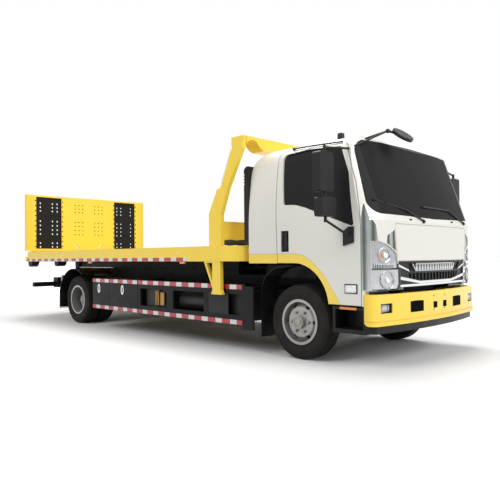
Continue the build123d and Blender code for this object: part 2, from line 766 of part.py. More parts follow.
def turned(points, y, s, mode=Mode.ADD):
    with BuildSketch(Plane.XY) as flat:
        with BuildLine():
            Polyline(*[(r, s * (y + d)) for r, d in points], close=True)
        make_face()
    revolve(flat.sketch, axis=Axis.Y, mode=mode)


def holes_through(y, s, ring, r, amount, both=False):
    with BuildSketch(Plane((0, s * y, 0), x_dir=(1, 0, 0), z_dir=(0, s, 0))) as flat:
        with PolarLocations(ring, hand_holes):
            Circle(r)
    extrude(flat.sketch, amount=amount, both=both, mode=Mode.SUBTRACT)


for name, s in sides.items():
    with BuildPart() as front_tyre:
        turned(tyre_profile, front_wheel_y, s)
    with BuildPart() as front_rim:
        turned(barrel_profile, front_wheel_y, s)
        turned(front_disc, front_wheel_y, s)
        turned(front_hub, front_wheel_y, s)
        turned(((0, 100), (70, 100), (70, 118), (0, 118)), front_wheel_y, s)
        holes_through(front_wheel_y, s, 180, 25, 120)
    for part_name, made in (("front_tyre", front_tyre), ("front_rim", front_rim)):
        nodes[f"{part_name}_{name}"] = Pos(0, 0, axle_z) * made.part

    with BuildPart() as rear_tyres:
        turned(tyre_profile, rear_outer_y, s)
        turned(tyre_profile, rear_inner_y, s)
    mid = (rear_outer_y + rear_inner_y) / 2
    with BuildPart() as rear_rims:
        turned(barrel_profile, rear_outer_y, s)
        turned(barrel_profile, rear_inner_y, s)
        turned(rear_disc, mid, s)
        turned([(r, -d) for r, d in rear_disc], mid, s)
        turned(rear_hub, mid, s)
        turned(rear_cap, mid, s)
        holes_through(mid, s, 178, 25, 70, both=True)
    for part_name, made in (("rear_tyres", rear_tyres), ("rear_rims", rear_rims)):
        nodes[f"{part_name}_{name}"] = Pos(rear_axle_x, 0, axle_z) * made.part

# Tilt frame with the slide cylinder's barrel
ear = ((-55, 35), (-55, -20), (-30, -55), (30, -55), (55, -20), (55, 35), (110, 140), (-55, 140))
tilt_rail = (
    (tilt_frame_rear, tilt_frame_z1),
    (tilt_frame_rear, 940),
    (tilt_frame_rear + 65, tilt_frame_z0),
    (tilt_frame_front, tilt_frame_z0),
    (tilt_frame_front, tilt_frame_z1),
)
slide_pads = (-1700, -0.611 * wheelbase, rear_axle_x + 450, rear_axle_x - 850)
tilt_beams = (-1560, cyl_eye[0] + 160, rear_axle_x + 800, rear_axle_x - 270, rear_axle_x - 1120)
with BuildPart() as tilt_frame:
    for s in (1, -1):
        plate_xz(tilt_rail, s * rail_in, s * rail_y)
        plate_xz([(bed_pivot[0] + x, bed_pivot[1] + z) for x, z in ear], s * 432, s * 462)
        block(bed_pivot[0] - 55, bed_pivot[0] + 90, s * rail_y, s * 432, 960, tilt_frame_z1)
        for x in slide_pads:
            block(x - 90, x + 90, s * 362, s * 418, tilt_frame_z1 - 2, tilt_frame_z1 + 4)
        for y0, y1 in ((200, 214), (286, 300)):
            block(cyl_eye[0] - 50, cyl_eye[0] + 130, s * y0, s * y1, tilt_frame_z0, 1000)
        across(bed_pivot[0], s * 425, s * 470, bed_pivot[1], 25.06, mode=Mode.SUBTRACT)
    for x in tilt_beams:
        block(x - 35, x + 35, -rail_in, rail_in, tilt_frame_z0, 935)
    block(-1650, -1595, -60, 60, tilt_frame_z0, 1012)
    bar((-1600, 0, slide_z), (rod_end_x + 88, 0, slide_z), 34)
    bar((-1680, 0, slide_z), (rod_end_x + 68, 0, slide_z), 21, mode=Mode.SUBTRACT)
    block(rear_axle_x + 765, rear_axle_x + 835, -30, 30, 930, 952)
nodes["tilt_frame"] = tilt_frame.part

with BuildPart() as slide_rod:
    bar((-1900, 0, slide_z), (rod_end_x + 18, 0, slide_z), 20)
nodes["slide_rod"] = slide_rod.part

# Tilt cylinders
along = Vector(cos(radians(cyl_angle)), 0, sin(radians(cyl_angle)))
base = Vector(cyl_base[0], 0, cyl_base[1])


def on_cylinder(d, y):
    p = base + along * d
    return (p.X, y, p.Z)


with BuildPart() as tilt_barrels:
    for s in (1, -1):
        y = s * cyl_y
        across(cyl_base[0], y - 30, y + 30, cyl_base[1], 44)
        bar(on_cylinder(30, y), on_cylinder(620, y), 48)
        bar(on_cylinder(90, y), on_cylinder(640, y), 25, mode=Mode.SUBTRACT)
        across(cyl_base[0], y - 40, y + 40, cyl_base[1], 25.06, mode=Mode.SUBTRACT)
nodes["tilt_barrels"] = tilt_barrels.part

with BuildPart() as tilt_rods:
    for s in (1, -1):
        y = s * cyl_y
        bar(on_cylinder(110, y), on_cylinder(cyl_len - 20, y), 24)
        across(cyl_eye[0], y - 26, y + 26, cyl_eye[1], 38)
        across(cyl_eye[0], y - 30, y + 30, cyl_eye[1], 20, mode=Mode.SUBTRACT)
nodes["tilt_rods"] = tilt_rods.part


# Bed: deck with its frame, ramp hinge lugs and rod bracket
def bed_plan(k):
    w = bed_half_w - k
    r = bed_corner_r - k
    x0 = bed_front - bed_corner_r
    with BuildLine() as outline:
        Polyline((x0, w), (bed_rear + k, w), (bed_rear + k, -w), (x0, -w))
        RadiusArc((x0, -w), (bed_front - k, bed_corner_r - bed_half_w), -r)
        Line((bed_front - k, bed_corner_r - bed_half_w), (bed_front - k, bed_half_w - bed_corner_r))
        RadiusArc((bed_front - k, bed_half_w - bed_corner_r), (x0, w), -r)
    make_face(outline.edges())


rim_t = 55
bed_beams = [bed_front - 450 - k * (bed_front - 450 - rod_end_x - 518) / 5 for k in range(6)]
bed_beams += [rod_end_x, rod_end_x - 632]
with BuildPart() as bed_deck:
    with BuildSketch(Plane.XY.offset(1185)):
        bed_plan(0)
    extrude(amount=deck_z - 1185)
    for k, mode in ((0, Mode.ADD), (rim_t, Mode.SUBTRACT)):
        with BuildSketch(Plane.XY.offset(bed_low)):
            bed_plan(k)
        extrude(amount=1185 - bed_low, mode=mode)
    for x in bed_beams:
        block(x - 25, x + 25, rim_t - 2 - bed_half_w, bed_half_w - rim_t + 2, 1090, 1186)
    for s in (1, -1):
        block(bed_rear + 50, bed_front - 50, s * 345, s * 435, 1015, 1092)
        across(ramp_axis[0], s * hinge_y, s * (hinge_y + 35), ramp_axis[1], 19)
        block(ramp_axis[0] - 5, bed_rear + 10, s * hinge_y, s * (hinge_y + 35), 1160, 1186)
        across(ramp_axis[0], s * (hinge_y - 45), s * (hinge_y + 10), ramp_axis[1], 12)
    block(rod_end_x - 17, rod_end_x + 18, -40, 40, 945, 1092)
    block(bed_rear + 80, -1450, 85 - bed_half_w, bed_half_w - 85, deck_z, load_z)
nodes["bed_deck"] = bed_deck.part

skid = ((190, 0), (5, 0), (2, -35), (25, -80), (80, -95), (140, -70))
with BuildPart() as tail_skids:
    for s in (1, -1):
        for y0, y1 in ((bed_half_w - 140, bed_half_w - 10), (560, 720)):
            plate_xz([(bed_rear + x, bed_low + z) for x, z in skid], s * y0, s * y1)
nodes["tail_skids"] = tail_skids.part

# Gantry: two leaning posts with a notch, the beam with its waved underside, headboard and legs
post = (
    (-1190, deck_z),
    (-1190, 1575),
    (-1039, 1856),
    (-951, 1927),
    (-791, 2286),
    (-796, 2400),
    (-776, 2405),
    (-600, 2405),
    (-628, 2270),
    (-867, 1852),
    (-985, 1560),
    (-985, deck_z),
)
notch = ((-1045, 1852), (-951, 1930), (-872, 1856))
leg = (
    (-1270, bed_low),
    (-980, bed_low),
    (-980, 690),
    (-960, 655),
    (-960, 640),
    (-1140, 640),
    (-1140, 655),
    (-1120, 690),
    (-1120, 710),
)
leg_opening = ((-1228, bed_low - 18), (-1122, bed_low - 18), (-1122, 780))
with BuildPart() as gantry:
    for s in (1, -1):
        plate_xz(post, s * post_y0, s * post_y1)
        plate_xz(notch, s * (post_y1 - 24), s * (post_y1 + 20), mode=Mode.SUBTRACT)
    with BuildSketch(facing_front(-790)):
        with BuildLine():
            Polyline((-post_y0, 2318), (-post_y0, 2405), (post_y0, 2405), (post_y0, 2318))
            for s in (1, -1):
                ThreePointArc((s * post_y0, 2318), (s * (post_y0 - 85), 2369), (s * (post_y0 - 180), 2325))
                ThreePointArc((s * (post_y0 - 180), 2325), (s * (post_y0 - 234), 2284), (s * (post_y0 - 305), 2270))
            Line((post_y0 - 305, 2270), (305 - post_y0, 2270))
        make_face()
    extrude(amount=190)
    for s in (1, -1):
        plate_xz(leg, s * (bed_half_w - 55), s * (bed_half_w - 10))
        plate_xz(leg_opening, s * (bed_half_w - 70), s * bed_half_w, mode=Mode.SUBTRACT)
    block(-1012, -990, -post_y0, post_y0, 1255, 1480)
    for s in (1, -1):
        block(-1012, -990, s * 500, s * 540, deck_z, 1255)
nodes["gantry"] = gantry.part

with BuildPart() as winch:
    block(-1380, -1120, -380, 380, deck_z, 1210)
    for s in (1, -1):
        block(-1350, -1150, s * 330, s * 355, 1210, 1410)
    across(-1250, -330, 330, 1310, 80)
    across(-1250, 355, 560, 1310, 65)
nodes["winch"] = winch.part

# Tail ramp standing at the rear, with rows of holes, and its black treads
upper_rows = (2100, 2030, 1960)
middle_rows = (1770, 1690, 1610, 1530)
lower_rows = (1360, 1290)
tread_columns = (0.18, 0.65, 0.84)
grid_columns = (130, 210, 290)
ramp_x = ramp_axis[0]
ramp_barrel = hinge_y - 6
with BuildPart() as ramp_frame:
    block(ramp_x - 24, ramp_x + 22, -ramp_half_w, ramp_half_w, 1216, ramp_top)
    for s in (1, -1):
        block(ramp_x - 40, ramp_x + 40, s * tread_y0, s * tread_y1, 1255, 2215, mode=Mode.SUBTRACT)
        for z in upper_rows + middle_rows:
            for y in grid_columns:
                bar((ramp_x - 60, s * y, z), (ramp_x + 60, s * y, z), 13, mode=Mode.SUBTRACT)
        slot = ((195, 1275), (225, 1262), (310, 1345), (280, 1358))
        plate_yz([(s * y, z) for y, z in slot], ramp_x - 60, ramp_x + 60, mode=Mode.SUBTRACT)
        block(ramp_x + 20, ramp_x + 50, s * (ramp_half_w - 14), s * ramp_half_w, 1290, ramp_top)
    across(ramp_x, -ramp_barrel, ramp_barrel, ramp_axis[1], 21)
    block(ramp_x - 13, ramp_x + 12, -ramp_barrel, ramp_barrel, 1195, 1220)
    for s in (1, -1):
        across(ramp_x, s * (hinge_y - 50), s * hinge_y, ramp_axis[1], 12.05, mode=Mode.SUBTRACT)
nodes["ramp_frame"] = ramp_frame.part

with BuildPart() as ramp_treads:
    for s in (1, -1):
        block(ramp_x - 18, ramp_x + 7, s * tread_y0, s * tread_y1, 1255, 2215)
        for z in upper_rows + middle_rows + lower_rows:
            for share in tread_columns:
                y = s * (tread_y1 - share * (tread_y1 - tread_y0))
                bar((ramp_x - 60, y, z), (ramp_x + 60, y, z), 17, mode=Mode.SUBTRACT)
nodes["ramp_treads"] = ramp_treads.part

# Under-lift: outer boom, inner boom with fork, cross-bar
boom_nose = ((-60, -82), (-60, 82), (40, 50), (60, 0), (40, -50))
with BuildPart() as lift_boom:
    block(lift_pivot[0] - 620, lift_pivot[0] - 60, -82, 82, 518, 682)
    plate_xz([(lift_pivot[0] + x, lift_pivot[1] + z) for x, z in boom_nose], -80, 80)
    block(lift_pivot[0] - 660, lift_pivot[0] - 140, -66, 66, 534, 666, mode=Mode.SUBTRACT)
    across(lift_pivot[0], -90, 90, lift_pivot[1], 25.06, mode=Mode.SUBTRACT)
nodes["lift_boom"] = lift_boom.part

with BuildPart() as lift_slide:
    block(swivel_x + 210, lift_pivot[0] - 160, -65, 65, 535, 665)
    block(swivel_x + 170, swivel_x + 210, -60, 60, 494, 734)
    for z0, z1 in ((494, 511), (717, 734)):
        block(swivel_x - 40, swivel_x + 170, -60, 60, z0, z1)
    bar((swivel_x, 0, 494), (swivel_x, 0, 734), 20)
nodes["lift_slide"] = lift_slide.part

with BuildPart() as cross_bar:
    block(swivel_x - 90, swivel_x + 90, -620, 620, 518, 710)
    for s in (1, -1):
        block(swivel_x - 45, swivel_x + 45, s * 620, s * 1050, 545, 630)
        bar((swivel_x, s * 990, 540), (swivel_x, s * 990, 640), 22, mode=Mode.SUBTRACT)
    bar((swivel_x, 0, 510), (swivel_x, 0, 720), 20.06, mode=Mode.SUBTRACT)
nodes["cross_bar"] = cross_bar.part

# Move every piece from the axle to the middle of the whole box and write it
for name, shape in nodes.items():
    placed = Pos(front_axle_x, 0, 0) * shape
    placed.label = name
    export_step(placed, f"parts/{name}.step")
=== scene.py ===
import json
import math
import bmesh
import bpy
from mathutils import Matrix, Vector


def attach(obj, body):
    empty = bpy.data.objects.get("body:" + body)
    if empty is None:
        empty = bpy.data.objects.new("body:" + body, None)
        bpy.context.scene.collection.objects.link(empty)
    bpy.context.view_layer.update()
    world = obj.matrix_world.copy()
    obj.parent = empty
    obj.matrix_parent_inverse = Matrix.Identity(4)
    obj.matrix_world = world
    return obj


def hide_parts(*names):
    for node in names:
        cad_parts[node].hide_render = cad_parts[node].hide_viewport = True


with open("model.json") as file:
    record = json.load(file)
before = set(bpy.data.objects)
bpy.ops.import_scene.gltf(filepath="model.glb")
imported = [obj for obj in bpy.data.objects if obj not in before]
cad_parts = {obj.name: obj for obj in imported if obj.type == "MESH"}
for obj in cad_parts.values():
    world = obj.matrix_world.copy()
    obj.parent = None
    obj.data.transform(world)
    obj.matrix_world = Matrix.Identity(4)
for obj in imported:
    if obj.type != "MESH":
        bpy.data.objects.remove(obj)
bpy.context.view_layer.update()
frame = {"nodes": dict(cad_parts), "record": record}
bpy.ops.object.select_all(action="DESELECT")

# The front axle's place along the truck: pieces below are measured from it, in metres
AXLE_X = 2.7175
WHEELBASE = 4.75
# Height of the wheels' middles
WHEEL_Z = 0.388
# The bumper's front: its radius in plan, and how far it lies ahead of the axle
BUMPER_RADIUS = 5.62
BUMPER_FRONT = 1.054
# The cab's rounded front corner in plan: centre and radius, for what is set on it
CORNER = (0.5906, 0.7641, 0.3964)


# Small words for node graphs
class Graph:
    def __init__(self, name):
        self.material = bpy.data.materials.new(name)
        self.material.use_nodes = True
        self.tree = self.material.node_tree
        self.shader = self.tree.nodes["Principled BSDF"]
        self.place = self.add("ShaderNodeTexCoord").outputs["Object"]
        split = self.add("ShaderNodeSeparateXYZ")
        self.join(self.place, split.inputs[0])
        self.x, self.y, self.z = split.outputs

    def add(self, kind, **settings):
        node = self.tree.nodes.new(kind)
        for key, value in settings.items():
            setattr(node, key, value)
        return node

    def join(self, source, target):
        self.tree.links.new(source, target)

    def put(self, value, socket):
        if isinstance(value, bpy.types.NodeSocket):
            self.join(value, socket)
        else:
            socket.default_value = value

    def calc(self, operation, a, b=0.0, c=0.0):
        node = self.add("ShaderNodeMath", operation=operation)
        for value, socket in zip((a, b, c), node.inputs):
            self.put(value, socket)
        return node.outputs[0]

    def spread(self, value, low, high, to_low=0.0, to_high=1.0):
        node = self.add("ShaderNodeMapRange", interpolation_type="SMOOTHSTEP")
        self.put(value, node.inputs["Value"])
        node.inputs["From Min"].default_value = low
        node.inputs["From Max"].default_value = high
        node.inputs["To Min"].default_value = to_low
        node.inputs["To Max"].default_value = to_high
        return node.outputs["Result"]

    def noise(self, scale, detail=4.0, stretch=None):
        node = self.add("ShaderNodeTexNoise")
        node.inputs["Scale"].default_value = scale
        node.inputs["Detail"].default_value = detail
        place = self.place
        if stretch:
            mapping = self.add("ShaderNodeMapping")
            mapping.inputs["Scale"].default_value = stretch
            self.join(place, mapping.inputs["Vector"])
            place = mapping.outputs["Vector"]
        self.join(place, node.inputs["Vector"])
        return node.outputs["Fac"]

    def mix(self, share, a, b):
        node = self.add("ShaderNodeMix", data_type="RGBA")
        self.put(share, node.inputs["Factor"])
        for value, socket in ((a, node.inputs["A"]), (b, node.inputs["B"])):
            self.put(value if isinstance(value, bpy.types.NodeSocket) else (*value, 1.0), socket)
        return node.outputs["Result"]

    def set(self, **sockets):
        for key, value in sockets.items():
            self.put(value, self.shader.inputs[key.replace("_", " ")])

    def bump(self, height, strength, distance):
        node = self.add("ShaderNodeBump")
        node.inputs["Strength"].default_value = strength
        node.inputs["Distance"].default_value = distance
        self.join(height, node.inputs["Height"])
        self.join(node.outputs["Normal"], self.shader.inputs["Normal"])


ROAD_DUST = (0.30, 0.27, 0.22)


def tinted(colour, k):
    return tuple(min(1.0, c * k) for c in colour)


# Colour that drifts a little, gathers dust towards the road, and has its own grain
# The grain's three values are its scale, its bump's strength and its bump's height
def surface(
    name, colour, rough, metal=0.0, coat=0.0, grain=(60.0, 0.03, 0.001),
    dust=0.2, drift=0.06, wear=0.06, spec=0.5
):
    g = Graph(name)
    patches = g.noise(1.7, 5.0)
    shade = g.mix(patches, tinted(colour, 1 - drift), tinted(colour, 1 + drift))
    low = g.spread(g.z, 0.15, 1.0, 1.0, 0.0)
    film = g.calc("MULTIPLY", low, g.spread(g.noise(5.0, 8.0), 0.42, 0.75, 0.0, dust))
    g.set(Base_Color=g.mix(film, shade, ROAD_DUST), Metallic=metal, Coat_Weight=coat, Coat_Roughness=0.04)
    g.set(Roughness=g.spread(g.noise(9.0, 6.0), 0.25, 0.8, max(0.02, rough - wear), min(1.0, rough + wear)))
    g.set(Specular_IOR_Level=spec)
    g.bump(g.noise(grain[0], 3.0), grain[1], grain[2])
    return g


YELLOW = (0.93, 0.665, 0.060)
WHITE = (0.74, 0.725, 0.665)
PAINT_GRAIN = (90.0, 0.01, 0.0004)
RUBBER_GRAIN = (300.0, 0.12, 0.0008)

yellow_paint = surface(
    "yellow_paint", YELLOW, 0.30, coat=0.1, grain=PAINT_GRAIN, dust=0.05, drift=0.02, wear=0.01
).material
chassis_black = surface(
    "chassis_black", (0.010, 0.010, 0.011), 0.50, grain=(140.0, 0.06, 0.0008), dust=0.06, spec=0.15
).material
skirt_grey = surface(
    "skirt_grey", (0.015, 0.015, 0.016), 0.42, grain=(160.0, 0.03, 0.0006), dust=0.03, spec=0.10
).material
black_plastic = surface(
    "black_plastic", (0.006, 0.006, 0.007), 0.42, grain=(420.0, 0.10, 0.0006), dust=0.03, spec=0.24
).material
tank_black = surface("tank_black", (0.014, 0.014, 0.015), 0.40, dust=0.06, spec=0.25).material
engine_iron = surface(
    "engine_iron", (0.05, 0.05, 0.053), 0.62, metal=0.6, grain=(220.0, 0.3, 0.002), dust=0.2
).material
tyre_rubber = surface(
    "tyre_rubber", (0.020, 0.019, 0.018), 0.78, grain=RUBBER_GRAIN, dust=0.12
).material
wheel_silver = surface(
    "wheel_silver", (0.33, 0.326, 0.315), 0.34, metal=0.55, coat=0.1, dust=0.10
).material
lamp_red = surface("lamp_red", (0.42, 0.012, 0.010), 0.12, coat=0.8, dust=0.05).material
lamp_amber = surface("lamp_amber", (0.85, 0.26, 0.01), 0.14, coat=0.8, dust=0.05).material
chrome = surface(
    "chrome", (0.56, 0.57, 0.58), 0.10, metal=1.0, dust=0.0, drift=0.02, grain=(40.0, 0.004, 0.0003)
).material
rod_steel = surface(
    "rod_steel", (0.60, 0.60, 0.62), 0.18, metal=1.0, dust=0.0, grain=(500.0, 0.05, 0.0003)
).material


# The yellow band's upper edge: level at its top, then falling ahead of the turn as a parabola
BAND_TOP, BAND_TURN, BAND_FALL = 1.0966, 0.0055, 1.5


# White cab paint with the yellow band that runs round the wheel arch
def banded_paint():
    g = surface(
        "cab_paint", WHITE, 0.26, coat=0.6, grain=(120.0, 0.002, 0.0001), dust=0.02, drift=0.004, wear=0.004
    )
    white = g.shader.inputs["Base Color"].links[0].from_socket
    x = g.calc("SUBTRACT", g.x, AXLE_X)
    ahead = g.calc("MAXIMUM", g.calc("SUBTRACT", x, BAND_TURN), 0.0)
    edge = g.calc("MULTIPLY_ADD", g.calc("MULTIPLY", ahead, ahead), -BAND_FALL, BAND_TOP)
    band = g.calc("LESS_THAN", g.z, edge)
    outside = g.calc("GREATER_THAN", g.calc("ABSOLUTE", g.y), 0.985)
    share = g.calc("MULTIPLY", band, outside)
    # Painted shade: a thin darker line along the band's edge, where the crease is
    crease_shade = g.spread(g.calc("ABSOLUTE", g.calc("SUBTRACT", g.z, edge)), 0.0, 0.006, 1.0, 0.0)
    line = g.calc("MULTIPLY", crease_shade, outside)
    under = g.calc("LESS_THAN", g.z, 0.99)
    body = g.mix(share, white, YELLOW)
    body = g.mix(g.calc("MULTIPLY", line, 0.55), body, (0.20, 0.16, 0.06))
    inside = g.calc("MULTIPLY", under, g.calc("SUBTRACT", 1.0, outside))
    g.set(Base_Color=g.mix(inside, body, (0.03, 0.03, 0.03)))
    return g.material


cab_paint = banded_paint()


def tinted_glass():
    g = Graph("cab_glass_dark")
    g.set(Base_Color=g.mix(g.noise(3.0), (0.026, 0.026, 0.027), (0.028, 0.028, 0.029)))
    g.set(Roughness=g.spread(g.noise(14.0, 6.0), 0.3, 0.8, 0.03, 0.05), Transmission_Weight=0.03, IOR=1.45)
    g.set(Specular_IOR_Level=0.01)
    return g.material


def lamp_lens():
    g = Graph("lamp_clear")
    ribs = g.add("ShaderNodeTexWave", wave_type="BANDS", bands_direction="Y")
    ribs.inputs["Scale"].default_value = 22.0
    g.join(g.place, ribs.inputs["Vector"])
    g.set(Base_Color=g.mix(g.noise(18.0), (0.34, 0.35, 0.36), (0.47, 0.48, 0.49)), Metallic=0.55)
    g.set(Roughness=g.spread(g.noise(30.0), 0.3, 0.7, 0.06, 0.16), Coat_Weight=1.0, Coat_Roughness=0.03)
    g.bump(ribs.outputs["Fac"], 0.10, 0.002)
    return g.material


def seat_cloth():
    g = Graph("seat_cloth")
    weave = g.add("ShaderNodeTexChecker")
    weave.inputs["Scale"].default_value = 260.0
    g.join(g.place, weave.inputs["Vector"])
    g.set(Base_Color=g.mix(weave.outputs["Fac"], (0.040, 0.040, 0.046), (0.075, 0.074, 0.080)))
    g.set(Roughness=g.spread(g.noise(40.0), 0.2, 0.8, 0.82, 0.95), Sheen_Weight=0.4)
    g.bump(weave.outputs["Fac"], 0.3, 0.0008)
    return g.material


glass_dark = tinted_glass()
lamp_clear = lamp_lens()
cloth = seat_cloth()


def tape_colours():
    g = Graph("tape_stripes")
    share = g.calc("PINGPONG", g.calc("ADD", g.x, 40.0), 0.125)
    red = g.calc("LESS_THAN", share, 0.070)
    worn = g.spread(g.noise(30.0, 6.0), 0.35, 0.75, 0.0, 0.25)
    white = g.mix(worn, (0.68, 0.68, 0.66), (0.50, 0.48, 0.45))
    g.set(Base_Color=g.mix(red, white, g.mix(worn, (0.42, 0.008, 0.018), (0.28, 0.015, 0.02))))
    g.set(Roughness=g.spread(g.noise(12.0), 0.3, 0.7, 0.22, 0.34), Coat_Weight=0.4)
    g.bump(g.noise(900.0, 2.0), 0.10, 0.0004)
    return g.material


# Bright grey panel at the cab's corners: upright facets, with painted reflections that run light and dark
# by turns in streaks
def corner_painted_reflections():
    g = surface("corner_grey", (0.30, 0.325, 0.31), 0.16, metal=0.75, coat=0.6, dust=0.02, drift=0.02)
    side = g.calc("SUBTRACT", g.calc("ABSOLUTE", g.y), CORNER[1])
    turn = g.calc("ARCTAN2", side, g.calc("SUBTRACT", g.x, AXLE_X + CORNER[0]))
    facets = g.calc("PINGPONG", turn, 0.11)
    # Painted reflections: the facets and streaks set where the colour runs bright or dark
    reflection_streak = g.noise(7.0, 3.0, (1.0, 1.0, 0.10))
    share = g.calc("MULTIPLY", g.spread(facets, 0.01, 0.10), g.spread(reflection_streak, 0.35, 0.62, 0.35, 1.0))
    g.set(Base_Color=g.mix(share, (0.075, 0.095, 0.085), (0.80, 0.84, 0.81)))
    g.bump(facets, 0.5, 0.03)
    return g.material


# Bumper: yellow outside, with painted shade: the walls of its openings and its inner side are coloured near
# black
def bumper_with_painted_shade():
    g = surface(
        "bumper_paint", YELLOW, 0.30, coat=0.1, grain=PAINT_GRAIN, dust=0.05, drift=0.02, wear=0.01
    )
    yellow = g.shader.inputs["Base Color"].links[0].from_socket
    reach = g.calc("SUBTRACT", g.x, AXLE_X + BUMPER_FRONT - BUMPER_RADIUS)
    out = g.calc("SQRT", g.calc("ADD", g.calc("MULTIPLY", reach, reach), g.calc("MULTIPLY", g.y, g.y)))
    # Painted shade: these masks mark the opening walls and inner side, coloured near black
    deep = g.calc("LESS_THAN", out, BUMPER_RADIUS - 0.016)
    middle = g.calc("LESS_THAN", g.calc("ABSOLUTE", g.y), 0.985)
    below = g.calc("LESS_THAN", g.z, 0.700)
    inner = g.calc("MULTIPLY", g.calc("MULTIPLY", deep, middle), below)
    g.set(Base_Color=g.mix(inner, yellow, (0.010, 0.010, 0.010)))
    return g.material


# Twin rear rims: painted shade darkens the silver towards the floor of the deep dish
def shaded_deep_rim():
    g = surface("shaded_deep_rim", (0.35, 0.346, 0.335), 0.34, metal=0.5, coat=0.1, dust=0.10)
    silver = g.shader.inputs["Base Color"].links[0].from_socket
    # Painted shade: darker the deeper into the dish
    depth = g.spread(g.calc("ABSOLUTE", g.y), 0.80, 0.99, 0.75, 0.0)
    g.set(Base_Color=g.mix(depth, silver, (0.10, 0.10, 0.095)))
    return g.material


# Tyres: grooves round the tread and moulded rings on the walls, worked out from each wheel's middle
def tyre_tread(name, wheel_x):
    g = surface(name, (0.014, 0.013, 0.012), 0.76, grain=RUBBER_GRAIN, dust=0.05, drift=0.06, spec=0.2)
    side = g.calc("SUBTRACT", g.x, AXLE_X + wheel_x)
    rise = g.calc("SUBTRACT", g.z, WHEEL_Z)
    radius = g.calc("SQRT", g.calc("ADD", g.calc("MULTIPLY", side, side), g.calc("MULTIPLY", rise, rise)))
    tread = g.spread(radius, 0.377, 0.381)
    groove = g.spread(g.calc("PINGPONG", g.calc("ADD", g.y, 9.0), 0.021), 0.013, 0.016)
    angle = g.calc("ARCTAN2", rise, side)
    sipe = g.spread(g.calc("PINGPONG", g.calc("ADD", angle, 7.0), 0.045), 0.036, 0.040, 0.0, 0.6)
    rings = g.spread(g.calc("PINGPONG", radius, 0.011), 0.007, 0.010, 0.0, 0.5)
    cut = g.calc("MULTIPLY", tread, g.calc("MAXIMUM", groove, sipe))
    wall = g.calc("MULTIPLY", g.calc("SUBTRACT", 1.0, tread), rings)
    g.bump(g.calc("SUBTRACT", 1.0, g.calc("ADD", cut, wall)), 0.9, 0.006)
    # Painted shade: the grooves are coloured darker than the rubber
    rubber = g.shader.inputs["Base Color"].links[0].from_socket
    g.set(Base_Color=g.mix(cut, rubber, (0.006, 0.006, 0.006)))
    return g.material


# Bed paint: a raised lozenge tread on the deck's upper side only
def deck_paint():
    g = surface(
        "deck_paint", YELLOW, 0.32, coat=0.1, grain=PAINT_GRAIN, dust=0.0, drift=0.02, wear=0.01
    )
    along = g.calc("PINGPONG", g.calc("ADD", g.calc("ADD", g.x, g.y), 30.0), 0.03)
    cross = g.calc("PINGPONG", g.calc("ADD", g.calc("SUBTRACT", g.x, g.y), 30.0), 0.03)
    bars = g.calc("MULTIPLY", g.spread(along, 0.012, 0.020), g.spread(cross, 0.004, 0.010))
    top = g.spread(g.z, 1.194, 1.196)
    g.bump(g.calc("MULTIPLY", bars, top), 0.7, 0.004)
    return g.material


tape_stripes = tape_colours()
corner_grey = corner_painted_reflections()
bumper_paint = bumper_with_painted_shade()
rim_deep = shaded_deep_rim()
deck_yellow = deck_paint()
tyre_front = tyre_tread("tyre_front", 0.0)
tyre_rear = tyre_tread("tyre_rear", -WHEELBASE)
black_rubber = surface(
    "black_rubber", (0.010, 0.010, 0.011), 0.45, grain=(500.0, 0.1, 0.0004), dust=0.04, spec=0.25
).material
reflector = surface(
    "reflector", (0.40, 0.41, 0.42), 0.16, metal=0.8, coat=0.6,
    dust=0.0, drift=0.02, grain=(60.0, 0.004, 0.0002)
).material
lens_clear = surface("lens_clear", (0.86, 0.87, 0.87), 0.10, coat=1.0, dust=0.0, drift=0.03).material
mirror_pane = surface("mirror_pane", (0.75, 0.77, 0.78), 0.03, metal=1.0, dust=0.0, drift=0.01).material
# Near black with almost no reflection: painted shade for the bumper's slots and trays
slot_shade_black = surface(
    "slot_shade_black", (0.004, 0.004, 0.004), 0.80, dust=0.0, drift=0.0, wear=0.0, spec=0.03
).material
nut_steel = surface("nut_steel", (0.30, 0.29, 0.26), 0.32, metal=0.8, dust=0.1).material
valve_brown = surface("valve_brown", (0.46, 0.25, 0.05), 0.45, dust=0.1).material
net_green = surface(
    "net_green", (0.030, 0.045, 0.034), 0.85, grain=(300.0, 0.6, 0.002), dust=0.1
).material

slot_finish = {
    "cab_white": cab_paint,
    "yellow": yellow_paint,
    "chassis_black": chassis_black,
    "engine_iron": engine_iron,
    "skirt_grey": skirt_grey,
    "black_plastic": black_plastic,
    "tank_black": tank_black,
    "lamp_red": lamp_red,
    "lamp_clear": lamp_clear,
    "corner_chrome": chrome,
    "cab_glass": glass_dark,
    "seat_cloth": cloth,
    "tyre_rubber": tyre_rubber,
    "wheel_silver": wheel_silver,
    "rod_steel": rod_steel,
}
node_finish = {
    "corner_panels": corner_grey,
    "bumper": bumper_paint,
    "rear_rims_left": rim_deep,
    "rear_rims_right": rim_deep,
    "bed_deck": deck_yellow,
    "front_tyre_left": tyre_front,
    "front_tyre_right": tyre_front,
    "rear_tyres_left": tyre_rear,
    "rear_tyres_right": tyre_rear,
}
for row in frame["record"]["subparts"]:
    node = frame["nodes"][row["node"]]
    node.data.materials.clear()
    node.data.materials.append(node_finish.get(row["node"], slot_finish[row["material_slot"]]))


# Small words for modelling: ranges and places are in metres, X from the front axle
def deselect():
    if bpy.context.object and bpy.context.object.mode != "OBJECT":
        bpy.ops.object.mode_set(mode="OBJECT")
    bpy.ops.object.select_all(action="DESELECT")


def hold(obj):
    deselect()
    obj.select_set(True)
    bpy.context.view_layer.objects.active = obj


def settle():
    bpy.ops.object.transform_apply(location=True, rotation=True, scale=True)
    return bpy.context.object


def cube(x, y, z):
    deselect()
    middle = [(a + b) / 2 for a, b in (x, y, z)]
    bpy.ops.mesh.primitive_cube_add(size=1.0, location=(middle[0] + AXLE_X, middle[1], middle[2]))
    bpy.context.object.scale = [abs(b - a) for a, b in (x, y, z)]
    return settle()


